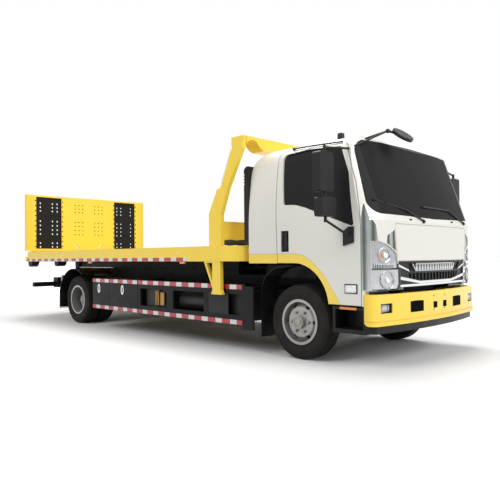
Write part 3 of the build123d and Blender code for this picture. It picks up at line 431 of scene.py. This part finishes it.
def rod(start, end, radius, sides=20):
    deselect()
    a = Vector((start[0] + AXLE_X, start[1], start[2]))
    b = Vector((end[0] + AXLE_X, end[1], end[2]))
    length = (b - a).length
    bpy.ops.mesh.primitive_cylinder_add(vertices=sides, radius=radius, depth=length, location=(a + b) / 2)
    bpy.context.object.rotation_euler = (b - a).to_track_quat("Z", "Y").to_euler()
    return settle()


def edit(obj, kind, test):
    hold(obj)
    bpy.ops.object.mode_set(mode="EDIT")
    bpy.ops.mesh.select_mode(type=kind)
    bpy.ops.mesh.select_all(action="DESELECT")
    mesh = bmesh.from_edit_mesh(obj.data)
    for item in {"FACE": mesh.faces, "EDGE": mesh.edges, "VERT": mesh.verts}[kind]:
        item.select_set(bool(test(item)))
    mesh.select_flush_mode()
    bmesh.update_edit_mesh(obj.data)


def leave_edit():
    bpy.ops.object.mode_set(mode="OBJECT")


def every(item):
    return True


def facing(direction, limit=0.9):
    aim = Vector(direction).normalized()
    return lambda face: face.normal.dot(aim) > limit


# Edges where two faces meet at more than a slight turn, in radians
def sharp(edge):
    return edge.calc_face_angle(0) > 0.7


def soften(obj, width, segments=2, test=every):
    edit(obj, "EDGE", test)
    bpy.ops.mesh.bevel(offset=width, segments=segments, affect="EDGES")
    leave_edit()
    return obj


# The round end of a drum that looks one way
def round_end(direction):
    looks = facing(direction)
    return lambda face: len(face.verts) > 8 and looks(face)


# Insets the faces looking one way and pushes what is left in (or out, with a negative depth)
def dish(obj, direction, rim, depth, test=None):
    edit(obj, "FACE", test or facing(direction))
    bpy.ops.mesh.inset(thickness=rim, depth=0.0)
    push = -Vector(direction).normalized() * depth
    bpy.ops.mesh.extrude_region_move(TRANSFORM_OT_translate={"value": push})
    leave_edit()
    return obj


# Where a line running back along X meets a node
def front_of(node, y, z):
    found = frame["nodes"][node].ray_cast(Vector((9.0, y, z)), Vector((-1.0, 0.0, 0.0)))
    return found[1].x - AXLE_X


def smooth_out(obj, levels):
    hold(obj)
    subdivision = obj.modifiers.new("rounding", "SUBSURF")
    subdivision.levels = levels
    subdivision.render_levels = levels
    bpy.ops.object.modifier_apply(modifier="rounding")
    return obj


def copy_of(obj, move=(0.0, 0.0, 0.0)):
    hold(obj)
    bpy.ops.object.duplicate(linked=False)
    bpy.ops.transform.translate(value=move)
    return settle()


def turned_copy(obj, centre, axis, angle):
    hold(obj)
    bpy.ops.object.duplicate(linked=False)
    spot = Vector((centre[0] + AXLE_X, centre[1], centre[2]))
    around = Matrix.Translation(spot) @ Matrix.Rotation(angle, 4, axis) @ Matrix.Translation(-spot)
    bpy.context.object.matrix_world = around @ bpy.context.object.matrix_world
    return settle()


def mirrored(obj):
    hold(obj)
    bpy.ops.object.duplicate(linked=False)
    bpy.context.object.scale = (1, -1, 1)
    twin = settle()
    edit(twin, "FACE", every)
    bpy.ops.mesh.normals_make_consistent(inside=False)
    leave_edit()
    return twin


def joined(objs):
    deselect()
    for obj in objs:
        obj.select_set(True)
    bpy.context.view_layer.objects.active = objs[0]
    bpy.ops.object.join()
    return bpy.context.object


def piece(obj, name, body, finish, angle=35):
    obj.name = name
    obj.data.name = name
    obj.data.materials.clear()
    obj.data.materials.append(finish)
    hold(obj)
    bpy.ops.object.shade_smooth_by_angle(angle=math.radians(angle))
    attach(obj, body)
    return obj


# The same piece on the right as made, and on the left as its mirror image
def pair(obj, name, bodies, finish):
    left = mirrored(obj)
    piece(obj, name + "_right", bodies[0], finish)
    piece(left, name + "_left", bodies[1], finish)


BOTH_CAB = ("cab", "cab")
BOTH_BED = ("bed", "bed")
BOTH_CHASSIS = ("chassis", "chassis")
DOORS = ("door_right", "door_left")


def on_corner(across, sink):
    offset = across - CORNER[1]
    out = math.sqrt(CORNER[2] ** 2 - offset ** 2)
    normal = Vector((out / CORNER[2], -offset / CORNER[2], 0.0))
    return Vector((CORNER[0] + out, -across, 0.0)) - sink * normal, normal


# Round lamp bowls: a drum whose front is dished in steps, with a bulb on the floor of the bowl
def lamp_bowl(across, height, radius, depth):
    front, normal = on_corner(across, 0.003)
    back = front - 0.022 * normal
    drum = rod((back.x, back.y, height), (front.x, front.y, height), radius, 48)
    end = round_end(normal)
    dish(drum, normal, radius * 0.08, 0.004, end)
    dish(drum, normal, radius * 0.10, depth, end)
    dish(drum, normal, radius * 0.40, depth * 0.5, end)
    soften(drum, 0.002, 2, sharp)
    return drum


def lamp_bulb(across, height, radius, sink=0.005):
    front, normal = on_corner(across, sink)
    back = front - 0.012 * normal
    bulb = rod((back.x, back.y, height), (front.x, front.y, height), radius, 24)
    soften(bulb, radius * 0.55, 4, sharp)
    return bulb


pair(lamp_bowl(0.869, 0.841, 0.088, 0.010), "low_beam", BOTH_CAB, reflector)
pair(lamp_bowl(0.905, 1.072, 0.072, 0.010), "high_beam", BOTH_CAB, reflector)
pair(lamp_bulb(0.869, 0.841, 0.026), "low_bulb", BOTH_CAB, lens_clear)
pair(lamp_bulb(0.890, 1.072, 0.028), "high_bulb", BOTH_CAB, lens_clear)
pair(lamp_bulb(0.952, 1.066, 0.022, 0.003), "turn_bulb", BOTH_CAB, lamp_amber)

# Row of upright ribs in the silver band under the upper lamp
ribs = []
for k in range(15):
    spot, normal = on_corner(0.790 + 0.015 * k, 0.003)
    ribs.append(soften(rod((spot.x, spot.y, 0.950), (spot.x, spot.y, 0.996), 0.0055, 8), 0.002, 1))
pair(joined(ribs), "lamp_ribs", BOTH_CAB, reflector)

# Silver lattice over the grille's upper mesh: upright slats between two rails, narrower towards its foot
LATTICE_TOP, LATTICE_FOOT = 0.988, 0.918
LATTICE_MIDDLE = 0.957
LATTICE_HALF, LATTICE_STEP, LATTICE_COUNT = 0.385, 0.055, 15
SLAT_HALF = 0.019
RAIL_END = LATTICE_HALF + 0.02
slat_places = [(k - (LATTICE_COUNT - 1) / 2) * LATTICE_STEP for k in range(LATTICE_COUNT)]
lattice = []
for y in slat_places:
    x = front_of("grille", y, LATTICE_MIDDLE)
    slat = cube((x - 0.004, x + 0.004), (y - SLAT_HALF, y + SLAT_HALF), (LATTICE_FOOT, LATTICE_TOP))
    lattice.append(soften(slat, 0.003))
rail_ends = [(front_of("grille", y, LATTICE_MIDDLE), y) for y in (-RAIL_END, -0.2, 0.0, 0.2, RAIL_END)]
for z in (LATTICE_FOOT, LATTICE_TOP):
    for (x0, y0), (x1, y1) in zip(rail_ends, rail_ends[1:]):
        lattice.append(soften(rod((x0, y0, z), (x1, y1, z), 0.008, 10), 0.002, 1))
for s in (1, -1):
    x = front_of("grille", s * 0.41, LATTICE_MIDDLE)
    end = rod((x, s * 0.400, LATTICE_FOOT), (x - 0.006, s * 0.455, LATTICE_TOP), 0.009, 10)
    lattice.append(soften(end, 0.002, 1))
piece(joined(lattice), "grille_lattice", "cab", reflector)

# Bumper: blanks in the solid's four slots, then dark plates for the pair of slots near the middle and two
# square trays, painted shade for the shaded insides of these slots and trays
SLOT_Z = (0.535, 0.600)
blanks = []
for y in (0.302, 0.212, -0.212, -0.302):
    x = front_of("bumper", y, 0.660)
    blank = cube((x - 0.030, x), (y - 0.0175, y + 0.0175), (SLOT_Z[0] - 0.0005, SLOT_Z[1] + 0.0005))
    blanks.append(soften(blank, 0.0004, 1))
piece(joined(blanks), "bumper_blanks", "chassis", yellow_paint)
slots = []
for y in (-0.091, 0.117):
    x = front_of("bumper", y, 0.590)
    slot = cube((x - 0.006, x + 0.0012), (y - 0.040, y + 0.040), SLOT_Z)
    slots.append(dish(slot, (1, 0, 0), 0.004, 0.0005))
for s in (1, -1):
    x = front_of("bumper", s * 0.330, 0.660)
    outer, inner = s * 0.548, s * 0.324
    drop = front_of("bumper", outer, 0.660) - x
    tray = cube((x - 0.008, x + 0.0025), (outer, inner), (0.522, 0.627))
    edit(tray, "VERT", lambda v: abs(v.co.y) > 0.5)
    bpy.ops.transform.translate(value=(drop, 0, 0))
    leave_edit()
    slots.append(dish(tray, (1, 0, 0), 0.004, 0.0008))
piece(joined(slots), "bumper_slots", "chassis", slot_shade_black)

# Fog lamps set back in the bumper's outer openings
fog = cube((0.925, 0.955), (-0.975, -0.831), (0.543, 0.617))
dish(fog, (1, 0, 0), 0.008, 0.006)
soften(fog, 0.004)
pair(fog, "fog_lamp", BOTH_CHASSIS, reflector)

# Wipers: pivot and arm end, then the blade's ends, all lying on the screen
wipers = (
    ((1.014, -0.264, 1.406), (0.961, -0.575, 1.514), (0.872, -0.955, 1.588), (0.966, -0.545, 1.506)),
    ((0.982, 0.728, 1.421), (0.960, 0.345, 1.553), (0.964, -0.199, 1.556), (0.961, 0.377, 1.548)),
)
LIFT = Vector((0.012, 0.0, 0.006))
for place, (pivot, arm_end, tip, heel) in zip(("right", "left"), wipers):
    pivot, arm_end, tip, heel = (Vector(p) + LIFT for p in (pivot, arm_end, tip, heel))
    boss = soften(rod(pivot - 2 * LIFT, pivot + 0.4 * LIFT, 0.020), 0.004)
    arm = soften(rod(pivot, arm_end, 0.009, 8), 0.003)
    blade = rod(tip, heel, 0.010, 8)
    edit(blade, "FACE", lambda f: len(f.verts) == 8)
    bpy.ops.mesh.inset(thickness=0.003)
    bpy.ops.mesh.extrude_region_shrink_fatten(TRANSFORM_OT_shrink_fatten={"value": 0.02})
    leave_edit()
    piece(joined([boss, arm, blade]), "wiper_" + place, "cab", black_rubber)

# Washer jets under the screen
for place, (x, y, z) in (("right", (1.001, -0.493, 1.414)), ("left", (1.004, 0.393, 1.422))):
    jet = cube((x - 0.012, x + 0.010), (y - 0.018, y + 0.018), (z - 0.004, z + 0.012))
    soften(jet, 0.005)
    piece(jet, "washer_jet_" + place, "cab", black_rubber)

# Rain strip over each door, in two straight runs, and the markers on the roof
rain = ((-0.09, -0.936, 2.212), (0.337, -0.952, 2.198), (0.541, -0.958, 2.188))
strips = [soften(rod(a, b, 0.009, 8), 0.003) for a, b in zip(rain, rain[1:])]
heel_clip = soften(cube((-0.115, -0.085), (-0.948, -0.920), (2.196, 2.222)), 0.005)
pair(joined(strips + [heel_clip]), "rain_strip", BOTH_CAB, black_rubber)

for place, y in (("right", -0.75), ("left", 0.75)):
    dome = rod((0.372, y, 2.272), (0.372, y, 2.330), 0.036, 28)
    soften(dome, 0.016, 4, lambda e: e.verts[0].co.z > 2.32 and e.verts[1].co.z > 2.32)
    dish(dome, (0, 0, 1), 0.006, 0.003)
    piece(dome, "roof_marker_" + place, "cab", black_rubber)

# Door furniture: handle in its recess, side repeater, and reflector on the step below
tray = dish(cube((-0.170, -0.066), (-1.062, -1.050), (1.118, 1.335)), (0, -1, 0), 0.008, 0.006)
grip = soften(cube((-0.150, -0.086), (-1.078, -1.060), (1.140, 1.312)), 0.008, 3)
dish(grip, (0, -1, 0), 0.012, 0.004)
lock = soften(rod((-0.118, -1.081, 1.165), (-0.118, -1.070, 1.165), 0.012, 20), 0.002)
pair(joined([tray, grip, lock]), "door_handle", DOORS, black_rubber)

repeater = soften(cube((0.640, 0.765), (-1.090, -1.078), (0.724, 0.795)), 0.012, 3)
dish(repeater, (0, -1, 0), 0.010, 0.003)
pair(repeater, "side_repeater", DOORS, lens_clear)
bezel = soften(cube((0.630, 0.775), (-1.086, -1.077), (0.714, 0.805)), 0.004, 2)
dish(bezel, (0, -1, 0), 0.005, 0.002)
pair(bezel, "repeater_bezel", DOORS, black_rubber)

step_mark = soften(cube((0.560, 0.750), (-1.067, -1.061), (0.561, 0.585)), 0.002)
dish(step_mark, (0, -1, 0), 0.004, 0.001)
pair(step_mark, "step_reflector", BOTH_CHASSIS, lamp_amber)

# Mirror faces look back; each is a framed pane on its head's rear side
for label, z0, z1, x in (("main", 1.672, 2.018, 0.5375), ("wide", 1.444, 1.600, 0.555)):
    pane = cube((x - 0.006, x + 0.002), (-1.425, -1.245), (z0, z1))
    dish(pane, (-1, 0, 0), 0.010, 0.003)
    soften(pane, 0.0015, 1)
    pair(pane, "mirror_pane_" + label, DOORS, mirror_pane)


# Reflective tape: thin bevelled strips, red and white by turns
def tape(x0, x1, y, z0, z1):
    return soften(cube((x0, x1), (-y - 0.003, -y + 0.001), (z0, z1)), 0.001, 1)


BED_SIDE = 1.225
SKIRT_SIDE = 1.145
BOX_REAR, BOX_SPLIT, BOX_FRONT = -WHEELBASE + 0.74, -WHEELBASE + 1.226, -WHEELBASE + 1.978
pair(tape(-6.22, -1.574, BED_SIDE, 1.022, 1.068), "bed_tape", BOTH_BED, tape_stripes)

# Cross bar that closes the bed's rear end under the ramp's hinge
end_bar = soften(cube((-6.284, -6.232), (-1.245, 1.245), (1.022, 1.105)), 0.006)
dish(end_bar, (-1, 0, 0), 0.014, 0.004)
piece(end_bar, "bed_end_bar", "bed", yellow_paint)

# Ramp: a dark sheet inside the panel, painted shade that shows in its holes, and teeth stand along the
# edges of the treads
RAMP_FACE = -6.240
TOOTH_STEP, TOOTH_COUNT = 0.094, 10
for side, s in (("right", -1), ("left", 1)):
    hole_shade_sheet = cube((RAMP_FACE - 0.026, RAMP_FACE - 0.020), (s * 0.090, s * 0.345), (1.480, 2.150))
    soften(hole_shade_sheet, 0.002, 1)
    teeth = []
    for edge_y in (0.551, 1.074):
        across = (s * (edge_y - 0.014), s * (edge_y + 0.014))
        tooth = cube((RAMP_FACE - 0.004, RAMP_FACE + 0.012), across, (1.292, 1.310))
        edit(tooth, "FACE", facing((1, 0, 0)))
        bpy.ops.transform.resize(value=(1.0, 0.5, 0.5))
        leave_edit()
        teeth += [tooth] + [copy_of(tooth, (0, 0, TOOTH_STEP * k)) for k in range(1, TOOTH_COUNT)]
    piece(joined([hole_shade_sheet] + teeth), "ramp_teeth_and_hole_shade_" + side, "ramp", black_rubber)

# Tape along the guards and the tool doors, in an upper and a lower run
tape_runs = (
    ("guard", BOX_FRONT + 0.010, -0.70, BOTH_CHASSIS),
    ("rear_door", BOX_REAR + 0.004, BOX_SPLIT - 0.005, ("tool_door_rear_right", "tool_door_rear_left")),
    ("front_door", BOX_SPLIT + 0.005, BOX_FRONT - 0.004, ("tool_door_front_right", "tool_door_front_left")),
)
for label, x0, x1, bodies in tape_runs:
    pair(tape(x0, x1, SKIRT_SIDE, 0.705, 0.757), label + "_tape_high", bodies, tape_stripes)
    pair(tape(x0, x1, SKIRT_SIDE, 0.310, 0.362), label + "_tape_low", bodies, tape_stripes)

# Paddle latches on the tool doors: a silver oval dish with its black pull
LATCH_Z = 0.612
for label, x in (("rear", -3.816), ("front", -3.161)):
    oval = rod((x, -SKIRT_SIDE - 0.007, LATCH_Z), (x, -SKIRT_SIDE + 0.002, LATCH_Z), 0.036, 32)
    edit(oval, "VERT", every)
    bpy.ops.transform.resize(value=(1.0, 1.0, 1.9), center_override=(x + AXLE_X, -SKIRT_SIDE, LATCH_Z))
    leave_edit()
    dish(oval, (0, -1, 0), 0.010, 0.004)
    bodies = (f"tool_door_{label}_right", f"tool_door_{label}_left")
    pull = soften(cube((x - 0.011, x + 0.011), (-SKIRT_SIDE - 0.006, -SKIRT_SIDE), (0.578, 0.646)), 0.003)
    pair(oval, "latch_" + label, bodies, lens_clear)
    pair(pull, "latch_pull_" + label, bodies, black_rubber)

# Amber side markers below the bed's edge, and bolts along its side
marker = soften(cube((-4.025, -3.925), (-1.218, -1.190), (0.990, 1.020)), 0.006)
dish(marker, (0, -1, 0), 0.004, 0.002)
markers = [marker, copy_of(marker, (2.29, 0, 0))]
pair(joined(markers), "bed_markers", BOTH_BED, lamp_amber)
stud = soften(rod((-6.10, -BED_SIDE - 0.005, 1.118), (-6.10, -BED_SIDE + 0.002, 1.118), 0.012, 12), 0.003)
studs = [stud] + [copy_of(stud, (0.62 * k, 0, 0)) for k in range(1, 8)]
pair(joined(studs), "bed_studs", BOTH_BED, rod_steel)

# Upper wall of the front wheel bay, and the dark battery bay in the guard
wall = soften(cube((-0.800, -0.060), (-0.642, -0.630), (0.800, 0.992)), 0.003)
dish(wall, (0, -1, 0), 0.020, 0.003)
pair(wall, "wheel_bay_wall", BOTH_CHASSIS, black_rubber)
bay = cube((-1.330, -0.925), (-SKIRT_SIDE - 0.002, -SKIRT_SIDE + 0.004), (0.400, 0.690))
dish(bay, (0, -1, 0), 0.003, 0.004)
pair(bay, "guard_bay", BOTH_CHASSIS, black_rubber)

# Tray that the side equipment stands on, inside the guard: a dark plate that stands for the shade there and
# hides the lit floor below
tray = soften(cube((-2.720, -0.930), (-1.120, -0.660), (0.346, 0.372)), 0.004)
dish(tray, (0, 0, 1), 0.012, 0.008)
pair(tray, "equipment_shade_tray", BOTH_CHASSIS, chassis_black)

# Valve levers and a plate behind the first guard window
lever = soften(rod((-2.385, -1.106, 0.440), (-2.385, -1.106, 0.640), 0.012, 12), 0.004)
levers = [lever, copy_of(lever, (0.045, 0, 0))]
valve_plate = soften(cube((-2.300, -2.215), (-1.108, -1.094), (0.440, 0.610)), 0.006)
dish(valve_plate, (0, -1, 0), 0.010, 0.003)
piece(joined(levers + [valve_plate]), "valve_levers", "chassis", valve_brown)

# White lamp strips in the recess behind the gantry's upper posts
foot, head = Vector((-0.985, -1.172, 1.905)), Vector((-0.812, -1.172, 2.290))
strip = rod(foot, head, 0.018, 12)
edit(strip, "FACE", facing(head - foot))
bpy.ops.mesh.inset(thickness=0.006)
leave_edit()
soften(strip, 0.004, 2, lambda e: e.calc_face_angle(0) > 1.2)
pair(strip, "gantry_lamp", BOTH_BED, lens_clear)

# Roll along the deck under the headboard, taken for a tied net: it has a bulge at each tie
ROLL_X, ROLL_Z = -1.005, 1.238
TIE_FIRST, TIE_STEP, TIE_COUNT = -1.045, 0.19, 12
roll = rod((ROLL_X, -1.140, ROLL_Z), (ROLL_X, 1.140, ROLL_Z), 0.030, 14)
edit(roll, "FACE", lambda f: len(f.verts) == 4)
bpy.ops.mesh.subdivide(number_cuts=23)
leave_edit()
for k in range(TIE_COUNT):
    tie = TIE_FIRST + TIE_STEP * k
    edit(roll, "VERT", lambda v: abs(v.co.y - tie) < 0.030)
    bpy.ops.transform.resize(value=(1.25, 1.0, 1.25), center_override=(ROLL_X + AXLE_X, tie, ROLL_Z))
    leave_edit()
piece(roll, "net_roll", "bed", net_green)


# Wheel nuts and hub caps
def wheel_fittings(name, body, x, y, ring_r, nut_count, hub_r, hub_y):
    nut = rod((x + ring_r, y, WHEEL_Z), (x + ring_r, y - 0.026, WHEEL_Z), 0.016, 6)
    dish(nut, (0, -1, 0), 0.004, -0.006)
    soften(nut, 0.0015, 1)
    nuts = [nut]
    for k in range(1, nut_count):
        nuts.append(turned_copy(nut, (x, y, WHEEL_Z), "Y", k * math.tau / nut_count))
    cap = rod((x, hub_y, WHEEL_Z), (x, hub_y - 0.012, WHEEL_Z), hub_r, 40)
    dish(cap, (0, -1, 0), hub_r * 0.22, 0.006, round_end((0, -1, 0)))
    dish(cap, (0, -1, 0), hub_r * 0.20, -0.010, round_end((0, -1, 0)))
    soften(cap, 0.002, 2, sharp)
    pair(joined(nuts + [cap]), name, (body + "_right", body + "_left"), nut_steel)


wheel_fittings("front_nuts", "front_wheel", 0.0, -0.979, 0.110, 6, 0.066, -1.013)
wheel_fittings("rear_nuts", "rear_wheel", -WHEELBASE, -0.793, 0.118, 6, 0.058, -0.927)

# Brake drums seen through the front wheels' hand holes: a drum with its middle bridged open
drum = rod((0.0, -0.915, WHEEL_Z), (0.0, -0.800, WHEEL_Z), 0.198, 40)
edit(drum, "FACE", lambda f: len(f.verts) > 8)
bpy.ops.mesh.inset(thickness=0.085)
bpy.ops.mesh.bridge_edge_loops()
leave_edit()
soften(drum, 0.003, 2, sharp)
pair(drum, "brake_drum", ("front_wheel_right", "front_wheel_left"), chassis_black)

# Tail lamps: red and amber lenses with a bezel on the rear of each lamp box
TAIL_X = -WHEELBASE - 1.245
tail_lenses = (
    ("stop", -0.690, -0.540, lamp_red, "lamp_red"),
    ("turn", -0.530, -0.370, lamp_amber, None),
)
for label, y0, y1, finish, slot in tail_lenses:
    lens = cube((TAIL_X - 0.010, TAIL_X + 0.002), (y0, y1), (0.655, 0.745))
    dish(lens, (-1, 0, 0), 0.008, 0.003)
    soften(lens, 0.002, 2)
    pair(lens, "tail_lens_" + label, BOTH_CHASSIS, finish)

# White edge along the foot of the rear mud flaps
FLAP_X = -WHEELBASE - 0.500
edge = soften(cube((FLAP_X - 0.009, FLAP_X + 0.012), (-1.086, -0.534), (0.223, 0.245)), 0.004)
dish(edge, (-1, 0, 0), 0.004, 0.001)
pair(edge, "flap_edge", BOTH_CHASSIS, lens_clear)


# Seats: cushion and back grown from blocks, quilted by insets, rounded by subdivision
def pad(x, y, z, crown, side):
    block = cube(x, y, z)
    soften(block, 0.035, 2)
    edit(block, "FACE", facing(side))
    bpy.ops.mesh.inset(thickness=0.030)
    bpy.ops.mesh.inset(thickness=0.012, depth=-0.012)
    bpy.ops.mesh.inset(thickness=0.018, depth=0.010 + crown)
    leave_edit()
    return smooth_out(block, 2)


SEAT_PLACES = ((0.62, 0.255), (0.0, 0.185), (-0.62, 0.255))
pads = []
for y, half in SEAT_PLACES:
    pads.append(pad((-0.335, 0.122), (y - half, y + half), (1.060, 1.275), 0.004, (0, 0, 1)))
    back = pad((-0.345, -0.262), (y - half, y + half), (1.290, 1.895), 0.004, (1, 0, 0))
    edit(back, "VERT", lambda v: v.co.z > 1.55)
    bpy.ops.transform.translate(value=(-0.040, 0, 0))
    leave_edit()
    edit(back, "VERT", lambda v: v.co.z > 1.75)
    bpy.ops.transform.translate(value=(-0.040, 0, 0))
    leave_edit()
    pads.append(back)
seat_pads = piece(joined(pads), "seat_pads", "cab", cloth, 60)
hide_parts("seats")

# Floor: dull to the light that bounces, pale with a white far field to what is seen in it
bpy.ops.mesh.primitive_plane_add(size=120.0, location=(0, 0, 0))
floor = bpy.context.object
floor.name = "floor"
pale = Graph("floor_pale")
glow = pale.add("ShaderNodeEmission")
glow.inputs["Color"].default_value = (1, 1, 1, 1)
squares = pale.calc("ADD", pale.calc("MULTIPLY", pale.x, pale.x), pale.calc("MULTIPLY", pale.y, pale.y))
reach = pale.calc("SQRT", squares)
path = pale.add("ShaderNodeLightPath")
seen_ray = pale.calc("MAXIMUM", path.outputs["Is Camera Ray"], path.outputs["Is Glossy Ray"])
seen_ray = pale.calc("MAXIMUM", seen_ray, path.outputs["Is Transmission Ray"])
pale.join(pale.calc("MULTIPLY", seen_ray, pale.spread(reach, 4.5, 13.0, 0.0, 1.1)), glow.inputs["Strength"])
floor_tone = pale.mix(pale.noise(0.6), (0.80, 0.80, 0.80), (0.84, 0.84, 0.84))
pale.set(Base_Color=pale.mix(seen_ray, (0.38, 0.38, 0.38), floor_tone), Roughness=0.9)
both = pale.add("ShaderNodeAddShader")
pale.join(pale.shader.outputs[0], both.inputs[0])
pale.join(glow.outputs[0], both.inputs[1])
pale.join(both.outputs[0], pale.tree.nodes["Material Output"].inputs["Surface"])
floor.data.materials.append(pale.material)

# World: white where it is seen, also in metal and glass, and a softer light elsewhere
world = bpy.data.worlds.new("studio")
bpy.context.scene.world = world
world.use_nodes = True
tree = world.node_tree
seen = tree.nodes["Background"]
seen.inputs["Color"].default_value = (1, 1, 1, 1)
seen.inputs["Strength"].default_value = 1.0
soft = tree.nodes.new("ShaderNodeBackground")
soft.inputs["Color"].default_value = (0.97, 0.98, 1.0, 1)
soft.inputs["Strength"].default_value = 0.40
ray = tree.nodes.new("ShaderNodeLightPath")
either = tree.nodes.new("ShaderNodeMath")
either.operation = "MAXIMUM"
tree.links.new(ray.outputs["Is Camera Ray"], either.inputs[0])
tree.links.new(ray.outputs["Is Transmission Ray"], either.inputs[1])
shown = tree.nodes.new("ShaderNodeMath")
shown.operation = "MAXIMUM"
tree.links.new(either.outputs[0], shown.inputs[0])
tree.links.new(ray.outputs["Is Glossy Ray"], shown.inputs[1])
blend = tree.nodes.new("ShaderNodeMixShader")
tree.links.new(shown.outputs[0], blend.inputs[0])
tree.links.new(soft.outputs[0], blend.inputs[1])
tree.links.new(seen.outputs[0], blend.inputs[2])
tree.links.new(blend.outputs[0], tree.nodes["World Output"].inputs["Surface"])

# Lamps: place, aim, size and power
for lamp_name, spot, aim, size, power in (
    ("key_light", (1.0, -11.0, 9.0), (0.5, 0.0, 1.2), 7.0, 770.0),
    ("front_light", (12.0, -1.0, 6.0), (2.5, 0.0, 1.4), 6.0, 760.0),
    ("top_light", (-2.0, 3.0, 12.0), (0.0, 0.0, 1.0), 9.0, 1500.0),
):
    lamp = bpy.data.lights.new(lamp_name, "AREA")
    lamp.size = size
    lamp.energy = power
    holder = bpy.data.objects.new(lamp_name, lamp)
    holder.location = spot
    holder.rotation_euler = (Vector(aim) - Vector(spot)).to_track_quat("-Z", "Y").to_euler()
    bpy.context.scene.collection.objects.link(holder)

# Camera, as fitted to the photograph: focal length in picture widths of 500 pixels
FOCAL_PIXELS, PICTURE_PIXELS, SENSOR_MM = 543.1, 500, 36.0
EYE = Vector((3.643 + AXLE_X, -5.34, 1.069))
YAW, PITCH, ROLL = (math.radians(a) for a in (45.11, 0.72, -0.51))
ahead = Vector((-math.sin(YAW) * math.cos(PITCH), math.cos(YAW) * math.cos(PITCH), math.sin(PITCH)))
right = Vector((math.cos(YAW), math.sin(YAW), 0.0))
up = right.cross(ahead)
turned_right = math.cos(ROLL) * right + math.sin(ROLL) * up
turned_up = math.cos(ROLL) * up - math.sin(ROLL) * right
view = bpy.data.cameras.new("view")
view.sensor_width = SENSOR_MM
view.lens = FOCAL_PIXELS / PICTURE_PIXELS * SENSOR_MM
camera = bpy.data.objects.new("view", view)
columns = Matrix((turned_right, turned_up, -ahead)).transposed()
camera.matrix_world = Matrix.Translation(EYE) @ columns.to_4x4()
bpy.context.scene.collection.objects.link(camera)
bpy.context.scene.camera = camera
bpy.context.scene.view_settings.view_transform = "Standard"
